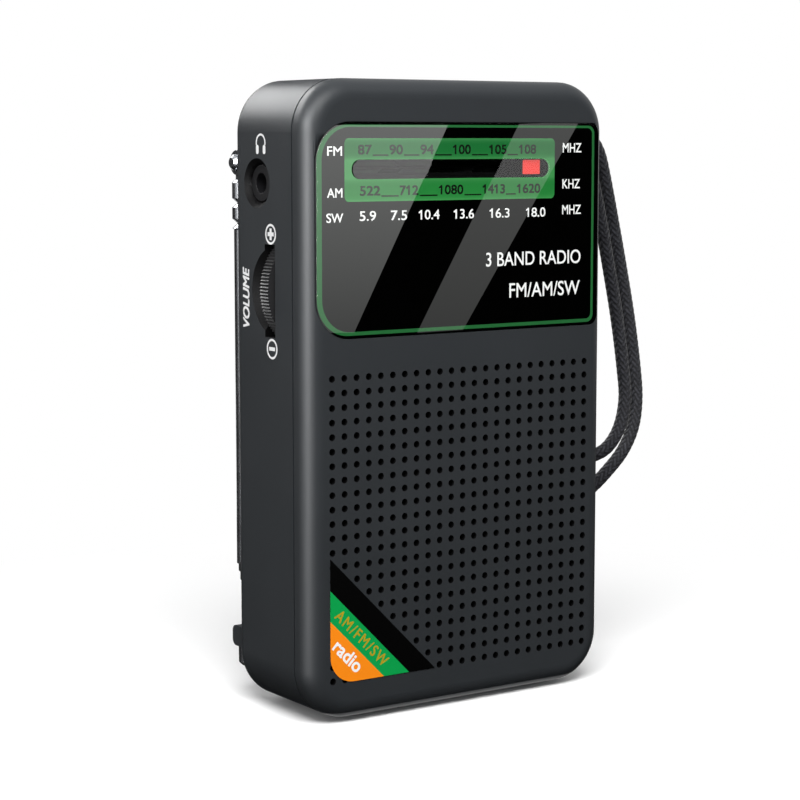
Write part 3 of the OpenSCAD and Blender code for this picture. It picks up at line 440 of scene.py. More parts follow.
NUB_TO, COPPER_FROM, BASE_FROM = 0.0235, 0.6705, 0.9685
cell_low, cell_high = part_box("battery_cells")
cell_wrap = Finish("cell_wrap")
where = cell_wrap.place()
reach = (where.part("X") - cell_low[0] / MM) / ((cell_high[0] - cell_low[0]) / MM)
coppery = reach > COPPER_FROM
bare = (reach < NUB_TO).most(reach > BASE_FROM)
sleeve = cell_wrap.blend(coppery, (0.015, 0.015, 0.017, 1), (0.55, 0.30, 0.12, 1))
cell_wrap.feed("Base Color", cell_wrap.blend(bare, sleeve, (0.60, 0.60, 0.62, 1)))
cell_wrap.feed("Metallic", 0.9 * coppery.most(bare))
cell_wrap.feed("Roughness", 0.24 + 0.12 * cell_wrap.noise(where, 0.4))
print("cloth and cells ready")

# %% [markdown]
# The pointer is a carrier with a red flag at its front. The red is paint on the front face only, and the
# carrier behind it gets a near-black painted shade, so that it stays dark in the window of the dial.

# %% The pointer's paint
PAINT_DEPTH = 0.35
pointer_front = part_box("pointer")[0][1] / MM
pointer_red = Finish("pointer_red", Specular_IOR_Level=0.2)
where = pointer_red.place()
chalk = pointer_red.noise(where, 3.0, 3.0)
painted = pointer_red.blend(chalk, (0.93, 0.050, 0.042, 1), (0.99, 0.062, 0.052, 1))
# Behind its red front face the pointer is coloured near black as painted shade
at_front = where.part("Y") < pointer_front + PAINT_DEPTH
pointer_red.feed("Base Color", pointer_red.blend(at_front, grey(0.004), painted))
pointer_red.feed("Roughness", 0.4 + 0.1 * chalk)
print("pointer front at", round(pointer_front, 2))

# %% [markdown]
# A braid is dark yarn with paler flecks where a yarn lies over the others, and painted shade darkens the
# grooves between yarns. The UV map counts yarns and stitches, so the yarn on top is found from the two
# diagonal counts: each runs over two and under two, as in twill. The fine fibres of a yarn are waves along
# the same diagonals.

# %% The braid's finish
FIBRE_RATE = 30.0
braid = Finish("strap_braid", Sheen_Weight=0.15, Sheen_Roughness=0.4, Specular_IOR_Level=0.25)
counts = braid.node("ShaderNodeUVMap", {"uv_map": "braid"})
yarn_count, stitch_count = counts.part("X"), counts.part("Y")
left_count = yarn_count + stitch_count
right_count = yarn_count - stitch_count
over = ((left_count.sum("FLOOR") + right_count.sum("FLOOR")) * 0.25).sum("FRACT") < 0.49
left_yarn = abs((left_count * math.pi).sum("SINE"))
right_yarn = abs((right_count * math.pi).sum("SINE"))
yarn = left_yarn * over + right_yarn * (1 - over)
fibres = (left_count * FIBRE_RATE).sum("SINE") * over + (right_count * FIBRE_RATE).sum("SINE") * (1 - over)
tuft = braid.noise(braid.place(), 1.6)
# Flecks are pale on the crowns of the top yarns, and the grooves between yarns are darkened as painted shade
fleck_and_groove_shade = (yarn * yarn * (2.1 * tuft - 0.45) + 0.12 * fibres).held()
braid.feed("Base Color", braid.blend(fleck_and_groove_shade, (0.003, 0.003, 0.0045, 1), (0.042, 0.043, 0.052, 1)))
braid.feed("Roughness", 0.62 + 0.2 * tuft)
braid.bump(yarn + 0.12 * fibres, 0.6, 0.15)
wear(strap, braid)
print("braid ready")

# %% [markdown]
# Every solid now gets its finish by name. The inner parts are dressed as carefully as the outside, because
# the battery door opens. Those behind the window of the dial get the almost black plastic as painted shade,
# so that the slot looks black beside the pointer.

# %% Dress the solids
ANTENNA = ["antenna_base", "antenna_rivet", "antenna_root", "antenna_tube_1", "antenna_tube_2",
           "antenna_tube_3", "antenna_tube_4", "antenna_rod", "antenna_tip"]
dress = {
    case_plastic: ["front_case", "rear_case", "battery_door"],
    black_plastic: ["headphone_socket", "band_knob", "radio_chip", "rod_holders"],
    # These parts behind the dial's window wear painted shade, not a colour of their own
    painted_shade_plastic: ["dial_plate", "dial_cord", "dial_chassis", "idler_pulley", "tuning_drum"],
    blued_steel: ["idler_pin", "tuning_screw", "board_screws"],
    wheel_plastic: ["volume_wheel", "tuning_wheel"],
    pointer_red: ["pointer"],
    steel: ["case_screws", "volume_screw", "volume_control", "band_switch", "if_cans",
            "speaker_basket", "speaker_magnet", "speaker_clips", "battery_springs", "tuning_capacitor"],
    antenna_chrome: ANTENNA,
    brass: ["battery_contacts", "antenna_washer"],
    copper: ["ferrite_coil"],
    sintered: ["ferrite_rod"],
    board_lacquer: ["main_board"],
    sleeve_plastic: ["electrolytic_capacitors"],
    paper_cone: ["speaker_cone"],
    cloth: ["speaker_cloth"],
    cell_wrap: ["battery_cells"],
    lead_red: ["speaker_leads"],
    lead_black: ["battery_leads", "strap_knots"],
}
for finish, names in dress.items():
    for name in names:
        wear(nodes[name], finish)
print("dressed:", sum(len(names) for names in dress.values()), "solids")

# %% [markdown]
# The solids are loose triangles, so light breaks on every facet of a rounded corner. A copy with its
# points merged can be shaded smooth where the faces meet at a shallow angle, and its sharp rims can get
# a tiny bevel, as every moulded or turned edge has. Weighted normals keep the large faces flat between
# those rims. The copy stands for the solid, which stays in the model for contact, hidden.

# %% Smooth copies of what shows
# Points nearer than MERGE, in millimetres, become one, and a normal past LEVEL lies along an axis
MERGE = 0.002
LEVEL = 0.99999


def stand_for(piece, node):
    """Puts a piece on the body of a solid, in its place."""
    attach(piece, nodes[node]["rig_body"])
    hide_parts(node)


def smooth_copy(node, name, bevel=0.0, limit=32.0, segments=2, flats=False):
    """A merged copy that replaces a solid. Edges sharper than limit, in degrees, stay sharp or get a bevel,
    in millimetres, and flats keeps the faces along the axes flat."""
    only(nodes[node])
    bpy.ops.object.duplicate()
    piece = bpy.context.object
    piece.name = name
    for key in list(piece.keys()):
        if key.startswith("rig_"):
            del piece[key]
    piece.parent = None
    with editing("SELECT"):
        bpy.ops.mesh.remove_doubles(threshold=MERGE * MM)
        if bevel:
            bpy.ops.mesh.dissolve_limited(angle_limit=math.radians(0.5))
    if bevel:
        edge = piece.modifiers.new("edge", "BEVEL")
        edge.width = bevel * MM
        edge.segments = segments
        edge.limit_method = "ANGLE"
        edge.angle_limit = math.radians(limit)
        bpy.ops.object.modifier_apply(modifier="edge")
    bpy.ops.object.shade_smooth_by_angle(angle=math.radians(limit))
    if flats:
        for face in piece.data.polygons:
            if max(abs(v) for v in face.normal) > LEVEL:
                face.use_smooth = False
    flat = piece.modifiers.new("flat", "WEIGHTED_NORMAL")
    flat.keep_sharp = True
    bpy.ops.object.modifier_apply(modifier="flat")
    stand_for(piece, node)
    return piece


front_shell = smooth_copy("front_case", "front_shell", limit=50.0, flats=True)
rear_shell = smooth_copy("rear_case", "rear_shell", limit=50.0, flats=True)
smooth_copy("battery_door", "door_panel", bevel=0.12, flats=True)
smooth_copy("band_knob", "band_slider", bevel=0.12)
smooth_copy("headphone_socket", "socket_barrel", bevel=0.15)
for node in ANTENNA:
    smooth_copy(node, "chromed_" + node, bevel=0.05)
smooth_copy("pointer", "pointer_flag", bevel=0.08)
print("smooth copies made")

# %% [markdown]
# The two thumbwheels have a fine milled rim, which the solids give with fewer and coarser grips. So each
# wheel is turned afresh on the same axis: a cylinder whose every other column of the rim is pulled in, a
# dished back with its spindle, made by inset and extrude, and the bore of its screw at the front.

# %% Milled thumbwheels
GRIP_PITCH = 0.62
GRIP_DEPTH = 0.28
WHEEL_T = 2.7
DISH_WALL, DISH_DEPTH = 2.6, 0.8
SPINDLE_R, SPINDLE_L = 3.0, 3.6
BORE_R, BORE_DEPTH = 0.9, 2.0


def pick_cap(piece, side):
    """Selects the large face that looks forward, -1, or back, 1."""
    with editing("DESELECT"):
        bpy.ops.mesh.select_mode(type="FACE")
    caps = [face for face in piece.data.polygons if face.normal.y * side > 0.99]
    max(caps, key=lambda face: face.area).select = True


def pick_points(piece, test):
    """Selects the points of the active object whose place passes a test."""
    with editing("DESELECT"):
        bpy.ops.mesh.select_mode(type="VERT")
    for point in piece.data.vertices:
        point.select = test(point.co)


def sink_cap(inset, shift):
    """Insets the selected cap and moves its middle along the axis, in millimetres."""
    bpy.ops.mesh.inset(thickness=inset * MM)
    bpy.ops.mesh.extrude_region_move(TRANSFORM_OT_translate={"value": (0, shift * MM, 0)})


def milled_wheel(node, name):
    """A thumbwheel with a fine milled rim that replaces the solid of that name."""
    low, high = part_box(node)
    radius = (high[0] - low[0]) / 2 / MM
    grips = 2 * round(math.pi * radius / GRIP_PITCH)
    middle = Vector(((low[0] + high[0]) / 2, low[1] + WHEEL_T / 2 * MM, (low[2] + high[2]) / 2))
    bpy.ops.object.select_all(action="DESELECT")
    bpy.ops.mesh.primitive_cylinder_add(vertices=2 * grips, radius=radius * MM, depth=WHEEL_T * MM,
                                        location=middle, rotation=(math.pi / 2, 0, 0))
    bpy.ops.object.transform_apply(location=True, rotation=True, scale=True)
    piece = bpy.context.object
    piece.name = name
    pick_cap(piece, -1)
    with editing():
        sink_cap(radius - BORE_R, BORE_DEPTH)
    pick_cap(piece, 1)
    with editing():
        sink_cap(DISH_WALL, -DISH_DEPTH)
        sink_cap(radius - DISH_WALL - SPINDLE_R, SPINDLE_L + DISH_DEPTH)

    def between_grips(place):
        out = place - middle
        column = round(math.atan2(out.z, out.x) / math.pi * grips)
        return math.hypot(out.x, out.z) > 0.999 * radius * MM and column % 2 == 1

    pick_points(piece, between_grips)
    pull = 1 - GRIP_DEPTH / radius
    with editing():
        bpy.ops.transform.resize(value=(pull, 1, pull), center_override=middle)
    bpy.ops.object.shade_smooth_by_angle(angle=math.radians(25))
    wear(piece, wheel_plastic)
    stand_for(piece, node)
    return grips


print("grips:", milled_wheel("volume_wheel", "volume_rim"), milled_wheel("tuning_wheel", "tuning_rim"))

# %% [markdown]
# Light that falls into a hole of the grille, into the socket or beside the volume wheel hardly comes out
# again. Many bounces would show that, with much grain. Instead the faces that lie below the outer skin of
# a shell get the almost black plastic as their second material, as painted shade.

# %% Painted shade inside holes and hollows
face_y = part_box("front_case")[0][1]
side_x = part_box("rear_case")[0][0]
GRILLE = ((-29.4, -99.0, 6.2), (29.4, 99.0, 64.5))
SIDE_HOLLOWS = ((-99.0, -8.5, 64.0), (-20.0, 7.5, 103.5))
SUNK = 0.03


def paint_shade_below(piece, box, axis, outer):
    """Gives the painted shade finish to the faces in a box, in millimetres, that lie below an outer face."""
    piece.data.materials.append(painted_shade_plastic.material)
    low, high = Vector(box[0]) * MM, Vector(box[1]) * MM
    count = 0
    for face in piece.data.polygons:
        at = face.center
        if all(a < c < b for a, c, b in zip(low, at, high)) and at[axis] > outer + SUNK * MM:
            face.material_index = 1
            count += 1
    return count


print("dark faces:", paint_shade_below(front_shell, GRILLE, 1, face_y), paint_shade_below(rear_shell, SIDE_HOLLOWS, 0, side_x))

# %% [markdown]
# The dial lens is a clear acrylic plate with rounded rims, and behind its face lies a printed film. The film
# could be painted on one plane. It is a thin sheet, filled between the outline of the lens and the outline
# of the long window where the pointer runs, so that the pointer is seen through a real opening.

# %% The lens and the film behind it
dial_glass = smooth_copy("dial_lens", "dial_glass", bevel=0.30, segments=3, flats=True)
lens_low, lens_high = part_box("dial_lens")
LENS_X = (lens_low[0] / MM, lens_high[0] / MM)
LENS_Z = (lens_low[2] / MM, lens_high[2] / MM)
LENS_LEFT_R, LENS_RIGHT_R = 7.0, 2.0
SLOT_X, SLOT_Z = (-24.3, 19.75), (98.25, 101.7)
FILM_DEPTH, FILM_THICK, FILM_MARGIN = 0.35, 0.04, 0.03
film_front = lens_low[1] + FILM_DEPTH * MM
slot_r = (SLOT_Z[1] - SLOT_Z[0]) / 2 - 0.01
# Stands up what is drawn in the XY plane, so that it looks to the front
FRONT = Matrix(((1, 0, 0), (0, 0, -1), (0, 1, 0)))


def flat_shape(x0, x1, z0, z1, left_r, right_r, steps=14):
    """A flat plate in the XY plane, in millimetres, with rounded corners on the left and the right."""
    bpy.ops.object.select_all(action="DESELECT")
    bpy.ops.mesh.primitive_plane_add(size=1, location=(0, 0, 0))
    shape = bpy.context.object
    middle = Vector((x0 + x1, z0 + z1, 0)) / 2 * MM
    with editing("SELECT"):
        bpy.ops.transform.resize(value=((x1 - x0) * MM, (z1 - z0) * MM, 1), center_override=(0, 0, 0))
        bpy.ops.transform.translate(value=middle)
    for radius, side in ((left_r, -1), (right_r, 1)):
        if radius:
            pick_points(shape, lambda place: (place.x - middle.x) * side > 0)
            with editing():
                bpy.ops.mesh.bevel(offset=radius * MM, segments=steps, affect="VERTICES")
    return shape


def shrunk(span, margin):
    return span[0] + margin, span[1] - margin


def joined(pieces):
    """Joins objects into the first of them."""
    only(pieces[0])
    for piece in pieces:
        piece.select_set(True)
    bpy.ops.object.join()
    return pieces[0]


def thicken(piece, thickness):
    """Gives a flat shape a thickness in millimetres, half of it to each side."""
    wall = piece.modifiers.new("wall", "SOLIDIFY")
    wall.thickness = thickness * MM
    wall.offset = 0
    bpy.ops.object.modifier_apply(modifier="wall")


film_x, film_z = shrunk(LENS_X, FILM_MARGIN), shrunk(LENS_Z, FILM_MARGIN)
outline = flat_shape(*film_x, *film_z, LENS_LEFT_R, LENS_RIGHT_R)
dial_film = joined([outline, flat_shape(*SLOT_X, *SLOT_Z, slot_r, slot_r)])
with editing("SELECT"):
    bpy.ops.mesh.delete(type="ONLY_FACE")
    bpy.ops.mesh.select_all(action="SELECT")
    bpy.ops.mesh.fill(use_beauty=True)
    bpy.ops.mesh.normals_make_consistent(inside=False)
thicken(dial_film, FILM_THICK)
dial_film.data.transform(Matrix.Translation((0, film_front + FILM_THICK * MM / 2, 0)) @ FRONT.to_4x4())
print("lens", [round((b - a) / MM, 1) for a, b in zip(lens_low, lens_high)])
print("film faces:", len(dial_film.data.polygons))

# %% [markdown]
# The print is a black ground, a green line that follows the rim, and the green scale plate, with a painted
# glow that makes it paler at the edges of its two rows. An image could hold it, but would blur near by. The
# line and the plate are distance fields of rounded rectangles, which stay sharp at any size. The ink has the
# gloss of the lens as a clear coat, because that renders with far less grain than a mirror in front of it.

# %% The film's print
EDGE_SOFT = 0.04
# Left, right, foot and head, then the corner radius on the left and on the right
LINE_OUTER = (-31.65, 30.75, 70.6, 107.85, 6.6, 1.5)
LINE_INNER = (-30.55, 30.2, 71.25, 107.4, 5.9, 1.1)
PLATE = (-25.8, 21.2, 94.3, 105.45, 0.9, 0.9)
PLATE_FADE = 11.0
LENS_IOR = 1.47
GLOSS = {"Coat_Weight": 1.0, "Coat_Roughness": 0.0, "Coat_IOR": LENS_IOR}


def rounded_field(x, z, x0, x1, z0, z1, left_r, right_r):
    """One inside a rounded rectangle and nought outside, with its own radius on the left and the right."""
    radius = right_r + (left_r - right_r) * (x < (x0 + x1) / 2)
    out_x = abs(x - (x0 + x1) / 2) - (x1 - x0) / 2 + radius
    out_z = abs(z - (z0 + z1) / 2) - (z1 - z0) / 2 + radius
    far_x, far_z = out_x.most(0.0), out_z.most(0.0)
    reach = (far_x * far_x + far_z * far_z).sum("SQRT") + out_x.most(out_z).least(0.0) - radius
    return (0.5 - reach / EDGE_SOFT).held()


def from_middle(z, foot, head):
    """Nought along the middle of a row and one at its edges."""
    return abs(z - (foot + head) / 2) / ((head - foot) / 2)


def print_on(piece, name, finish):
    """Names a printed piece, inks it and fixes it to the case."""
    piece.name = name
    wear(piece, finish)
    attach(piece, "case")


print_ink = Finish("dial_print", Roughness=0.55, Specular_IOR_Level=0.0, **GLOSS)
where = print_ink.place()
x, z = where.part("X"), where.part("Z")
line = rounded_field(x, z, *LINE_OUTER) * (1 - rounded_field(x, z, *LINE_INNER))
speck = print_ink.noise(where, 3.0, 3.0)
line_ink = print_ink.blend(speck, (0.016, 0.105, 0.030, 1), (0.019, 0.125, 0.036, 1))
height = ((z - PLATE[2]) / PLATE_FADE).held()
plate_ink = print_ink.blend(height, (0.018, 0.185, 0.036, 1), (0.009, 0.110, 0.026, 1))
# A painted glow pales the green plate towards the edges of its two rows
rows = from_middle(z, PLATE[2], SLOT_Z[0]).least(from_middle(z, SLOT_Z[1], PLATE[3])).held()
painted_edge_glow = rows * rows * rows * rows
plate_ink = print_ink.blend(0.45 * painted_edge_glow, plate_ink, (0.075, 0.32, 0.10, 1))
ground = print_ink.blend(speck, grey(0.0002), grey(0.0006))
inked = print_ink.blend(line, ground, line_ink)
print_ink.feed("Base Color", print_ink.blend(rounded_field(x, z, *PLATE), inked, plate_ink))
print_on(dial_film, "dial_film", print_ink)
# Without the film's shadow the pointer is lit as evenly as the print beside it
dial_film.visible_shadow = False
print("print ready")

# %% [markdown]
# A glass shader would bend the light and need many bounces, and the plate is so thin that the bend hardly
# shows. So the lens is made clear. Its own share of mirror, after Fresnel, is left at the window, where no
# ink lies behind it, and a little of it at the rim.

# %% The clear acrylic
RIM = 0.3
RIM_GLOSS = 0.1
clear = Finish("clear_acrylic")
where = clear.place()
x, z = where.part("X"), where.part("Z")
rim_r = (LENS_LEFT_R - RIM, LENS_RIGHT_R - RIM)
printed = rounded_field(x, z, *shrunk(LENS_X, RIM), *shrunk(LENS_Z, RIM), *rim_r)
window = rounded_field(x, z, *SLOT_X, *SLOT_Z, slot_r, slot_r)
own_gloss = (RIM_GLOSS * (1 - printed)).most(window)
share = clear.node("ShaderNodeFresnel", inputs={"IOR": LENS_IOR})
behind = clear.node("ShaderNodeNewGeometry", output="Backfacing")
through = clear.node("ShaderNodeBsdfTransparent", inputs={"Color": (0.97, 0.98, 0.97, 1)})
mirror = clear.node("ShaderNodeBsdfGlossy", inputs={"Color": grey(1.0), "Roughness": 0.0})
factor = share * own_gloss * (1 - behind)
clear.cover(clear.node("ShaderNodeMixShader", inputs={0: factor, 1: through, 2: mirror}))
wear(dial_glass, clear)
print("lens is clear")

# %% [markdown]
# The numbers and words are screen printed. A text object becomes a mesh, is stretched to the height and
# width that the real letters have, turned to face outwards and laid on its surface, so close that no gap
# shows. Black ink is used on the green plate, white ink elsewhere.

# %% Lettering
# The ink's thickness and its gap to the film, and lifts that keep crossing strokes out of one plane
INK_T, INK_GAP = 0.008, 0.012
FLAG_LIFT, BOLD_LIFT = 0.0012, 0.0015
TEXT_MERGE = 0.0003
letters = []


def ink(name, colour, **gloss):
    """A matt printing ink, or one under a clear coat."""
    made = Finish(name, Specular_IOR_Level=0.1, **gloss)
    speck = made.noise(made.place(), 5.0, 3.0)
    made.feed("Base Color", made.blend(speck, tint(colour, 0.93), tint(colour)))
    made.feed("Roughness", 0.45 + 0.1 * speck)
    return made


WHITE = (0.86, 0.86, 0.86)
white_ink = ink("white_ink", WHITE)
lens_white = ink("lens_white_ink", WHITE, **GLOSS)
lens_black = ink("lens_black_ink", (0.002, 0.008, 0.003), **GLOSS)


def corners_of(piece):
    """The lowest and the highest coordinates of a mesh."""
    points = np.array([v.co for v in piece.data.vertices])
    return points.min(axis=0), points.max(axis=0)


def flag_ones(text):
    """Adds the slanting flag at the top of each figure one, which the plain font draws as a bare stroke."""
    bpy.ops.mesh.separate(type="LOOSE")
    strokes = sorted(bpy.context.selected_objects, key=lambda stroke: corners_of(stroke)[0][0])
    flags = []
    for sign, stroke in zip(text, strokes):
        if sign == "1":
            low, high = corners_of(stroke)
            stem, tall = high[0] - low[0], high[1] - low[1]
            root = Vector((low[0] + 0.5 * stem, high[1] - 0.62 * stem, FLAG_LIFT))
            tip = Vector((low[0] - 0.20 * tall, high[1] - 0.27 * tall, FLAG_LIFT))
            along = root - tip
            bpy.ops.mesh.primitive_cube_add(size=1, location=(root + tip) / 2,
                                            scale=(along.length, 0.9 * stem, INK_T),
                                            rotation=(0, 0, math.atan2(along.y, along.x)))
            flags.append(bpy.context.object)
    joined(strokes + flags)


def word(text, name, middle, size, bold, finish=lens_white, facing=FRONT, turn=0.0,
         slant=0.0, space=1.0):
    """A printed word of that width and height, in millimetres, with its middle at a point.
    bold is how much wider each stroke gets, by laying four copies a little apart."""
    bpy.ops.object.select_all(action="DESELECT")
    bpy.ops.object.text_add(location=(0, 0, 0))
    lettering = bpy.context.object.data
    lettering.body = text
    lettering.shear = slant
    lettering.resolution_u = 6
    lettering.extrude = INK_T / 2
    lettering.space_character = space
    bpy.ops.object.convert(target="MESH")
    with editing("SELECT"):
        bpy.ops.mesh.remove_doubles(threshold=TEXT_MERGE)
    if "1" in text:
        flag_ones(text)
    piece = only(bpy.context.object)
    low, high = corners_of(piece)
    grow = [(wanted - bold) * MM / (b - a) for wanted, a, b in zip(size, low, high)]
    centred = Matrix.Translation(((-low[0] - high[0]) / 2, (-low[1] - high[1]) / 2, 0))
    piece.data.transform(Matrix.Diagonal((*grow, MM, 1)) @ centred)
    with editing("SELECT"):
        bpy.ops.transform.translate(value=(-bold / 2 * MM, -bold / 2 * MM, 0))
        for right, up in ((bold, 0), (0, bold), (-bold, 0)):
            bpy.ops.mesh.duplicate()
            bpy.ops.transform.translate(value=Vector((right, up, BOLD_LIFT)) * MM)
    piece.data.transform(Matrix.Translation(middle) @ facing.to_4x4() @ Matrix.Rotation(turn, 4, "Z"))
    print_on(piece, name, finish)
    letters.append(name)


print("inks ready")

# %% [markdown]
# Each scale is a row of numbers, with the name of its band at the left and the unit at the right. A whole
# row could be one text. The numbers are words of their own, because their places on the dial aren't even:
# each stands where its frequency lies.

# %% The scales
CAP = 1.75
LABEL_CAP = 1.65
LABEL_X, UNIT_X = -27.85, 23.1
BLACK_BOLD, WHITE_BOLD = 0.10, 0.05
DIGIT_W = 1.45
NARROW = {".": 0.6, "1": 1.15}
FM = {"87": -21.5, "90": -14.8, "94": -8.05, "100": -0.35, "105": 7.85, "108": 14.75}
AM = {"522": -20.4, "712": -12.0, "1080": -2.75, "1413": 6.95, "1620": 15.05}
SW = {"5.9": -20.9, "7.5": -14.2, "10.4": -7.6, "13.6": 0.15, "16.3": 8.3, "18.0": 16.75}
FM_Z, AM_Z, SW_Z = 103.45, 96.2, 91.75
ink_y = film_front - INK_GAP * MM


def scale_width(text):
    """Width of a scale number: wide digits, a narrow point and a narrow figure one."""
    return sum(NARROW.get(sign, DIGIT_W) for sign in text)


def lens_point(x, z):
    return Vector((x * MM, ink_y, z * MM))


def scale_row(scale, height, finish, tag, bold):
    """The numbers of a scale, each at its own place."""
    for text, x in scale.items():
        size = (scale_width(text), CAP)
        word(text, tag + text.replace(".", "_"), lens_point(x, height), size, bold, finish)


scale_row(FM, FM_Z, lens_black, "fm_", BLACK_BOLD)
scale_row(AM, AM_Z, lens_black, "am_", BLACK_BOLD)
scale_row(SW, SW_Z, lens_white, "sw_", WHITE_BOLD)
for band, wide, height in (("FM", 3.1, 103.2), ("AM", 3.2, 95.9), ("SW", 3.5, 91.5)):
    word(band, "label_" + band, lens_point(LABEL_X, height), (wide, LABEL_CAP), WHITE_BOLD)
units = [("FM", "MHZ", 4.5, 103.7), ("AM", "KHZ", 4.2, 96.95), ("SW", "MHZ", 4.5, 92.1)]
for band, unit, wide, height in units:
    word(unit, "unit_" + band, lens_point(UNIT_X + wide / 2, height), (wide, CAP), WHITE_BOLD)
word("3 BAND RADIO", "band_words", lens_point(16.45, 83.2), (22.4, 2.6), WHITE_BOLD)
word("FM/AM/SW", "range_words", lens_point(19.1, 77.3), (16.8, 2.75), WHITE_BOLD)
print("words on the dial:", len(letters))

# %% [markdown]
# Thin dashes lead from number to number on the green plate. They could be typed between the numbers. They
# are bars instead, worked out from the widths of the numbers, so that every dash ends at the same distance
# from its neighbours.

# %% Dashes between the numbers
DASH_H, DASH_GAP, DASH_DROP = 0.24, 0.25, 0.1
BAR_STEPS = 6


def flat_bar(width, height, middle=(0, 0), rounding=0.0):
    """A flat bar with rounded corners, in millimetres."""
    x, z = middle
    sides = (x - width / 2, x + width / 2, z - height / 2, z + height / 2)
    return flat_shape(*sides, rounding, rounding, BAR_STEPS)


def print_shapes(shapes, name, middle, facing, finish):
    """Joins flat shapes, gives them the thickness of ink and lays them on a surface."""
    piece = joined(shapes)
    thicken(piece, INK_T)
    piece.data.transform(Matrix.Translation(middle) @ facing.to_4x4())
    print_on(piece, name, finish)


def dash_row(scale, height, name):
    """Thin bars on the base line from each number to the next."""
    marks = list(scale.items())
    bars = []
    for (first, a), (second, b) in zip(marks, marks[1:]):
        x0 = a + scale_width(first) / 2 + DASH_GAP
        x1 = b - scale_width(second) / 2 - DASH_GAP
        bars.append(flat_bar(x1 - x0, DASH_H, ((x0 + x1) / 2, height - CAP / 2 - DASH_DROP)))
    print_shapes(bars, name, lens_point(0, 0), FRONT, lens_black)


dash_row(FM, FM_Z, "fm_dashes")
dash_row(AM, AM_Z, "am_dashes")
print("dashes made")

# %% [markdown]
# The sticker is vinyl film in three slanting stripes, with two plain words in the direction of the stripes.
# The stripes could be three pieces of film. They are one, coloured by the distance from its slanted edge,
# because that is how it is printed. The solid ends among the holes of the grille, so the film's edge is
# moved out a little, to cover the ones that it cuts.

# %% The sticker
GREEN_FROM, ORANGE_FROM, STRIPE_SOFT = 5.3, 10.9, 0.125
EDGE_OUT, EDGE_BAND = 0.5, 0.3
STICKER_GAP = 0.006
DOWNHILL = -math.radians(45)
sticker_low, sticker_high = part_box("corner_sticker")
edge_sum = (sticker_low[0] + sticker_high[2]) / MM
vinyl = Finish("sticker_film", Specular_IOR_Level=0.08)
where = vinyl.place()
inward = edge_sum - (where.part("X") + where.part("Z"))
grain = vinyl.noise(where, 4.0, 3.0)
green_part = (0.5 + (inward - GREEN_FROM) / STRIPE_SOFT).held()
orange_part = (0.5 + (inward - ORANGE_FROM) / STRIPE_SOFT).held()
stripes = vinyl.blend(green_part, grey(0.0004), (0.001, 0.30, 0.060, 1))
vinyl.feed("Base Color", vinyl.blend(orange_part, stripes, (0.87, 0.235, 0.006, 1)))
vinyl.feed("Roughness", 0.36 + 0.1 * grain)
vinyl.bump(grain, 0.08, 0.01)

sticker = smooth_copy("corner_sticker", "corner_sticker_film", bevel=0.03)
wear(sticker, vinyl)
half_x = (sticker_low[0] + sticker_high[0]) / 2
for side, shift in ((-1, (0, 0, EDGE_OUT * MM)), (1, (EDGE_OUT * MM, 0, 0))):
    pick_points(sticker, lambda place: (place.x + place.z) / MM > edge_sum - EDGE_BAND
                and (place.x - half_x) * side > 0)
    with editing():
        bpy.ops.transform.translate(value=shift)


def sticker_point(x, z):
    return Vector((x * MM, sticker_low[1] - STICKER_GAP * MM, z * MM))


ochre_ink = ink("ochre_ink", (0.42, 0.30, 0.01))
word("AM/FM/SW", "sticker_range", sticker_point(-22.5, 15.6), (14.9, 2.15), 0.06, ochre_ink,
     turn=DOWNHILL, space=1.25)
word("radio", "sticker_word", sticker_point(-25.5, 12.7), (7.4, 2.6), 0.14, white_ink,
     turn=DOWNHILL)
print("sticker and", len(letters), "words")

# %% [markdown]
# Small signs are printed on the left side: a headphone over its socket, plus and minus in circles at the
# ends of the volume wheel, and a slanted word beside it. The circles are rings cut from a disc, the bars
# are flat plates, and the headphone is a cut ring with two ear pads.

# %% Signs on the side
SIGN_GAP = 0.004
RING_SIDES = 48
CIRCLE = (1.85, 1.45)
ARM, REACH = 0.72, 0.68
MINUS = (2.0, 0.66)
HEADBAND, HEADBAND_CUT = (1.70, 1.34), -0.33
PAD, PAD_X, PAD_Z, PAD_R = (0.92, 1.65), 1.18, -1.15, 0.42
LEFT_SIDE = Matrix(((0, 0, -1), (-1, 0, 0), (0, 1, 0)))
LEFT_UPWARD = Matrix(((0, 0, -1), (0, 1, 0), (1, 0, 0)))


def flat_ring(outer, inner):
    """A flat ring in the XY plane, in millimetres."""
    bpy.ops.object.select_all(action="DESELECT")
    bpy.ops.mesh.primitive_circle_add(vertices=RING_SIDES, radius=outer * MM, fill_type="NGON")
    with editing("SELECT"):
        bpy.ops.mesh.inset(thickness=(outer - inner) * MM)
        bpy.ops.mesh.delete(type="FACE")
    return bpy.context.object


def side_point(y, z):
    return Vector((side_x - SIGN_GAP * MM, y * MM, z * MM))


stubs = [flat_bar(ARM, REACH, (0, side * (ARM + REACH) / 2)) for side in (-1, 1)]
plus = [flat_ring(*CIRCLE), flat_bar(ARM + 2 * REACH, ARM)] + stubs
print_shapes(plus, "plus_sign", side_point(-3.5, 88.4), LEFT_SIDE, white_ink)
minus = [flat_ring(*CIRCLE), flat_bar(*MINUS)]
print_shapes(minus, "minus_sign", side_point(-3.75, 67.8), LEFT_SIDE, white_ink)

headband = flat_ring(*HEADBAND)
with editing("SELECT"):
    bpy.ops.mesh.bisect(plane_co=(0, HEADBAND_CUT * MM, 0), plane_no=(0, 1, 0), clear_inner=True)
pads = [flat_bar(*PAD, (side * PAD_X, PAD_Z), PAD_R) for side in (-1, 1)]
print_shapes([headband] + pads, "headphone_sign", side_point(-0.25, 104.6), LEFT_SIDE, white_ink)
word("VOLUME", "volume_word", side_point(5.3, 76.6), (11.0, 2.3), 0.16, white_ink,
     facing=LEFT_UPWARD, slant=0.2)
print("signs printed on the side")

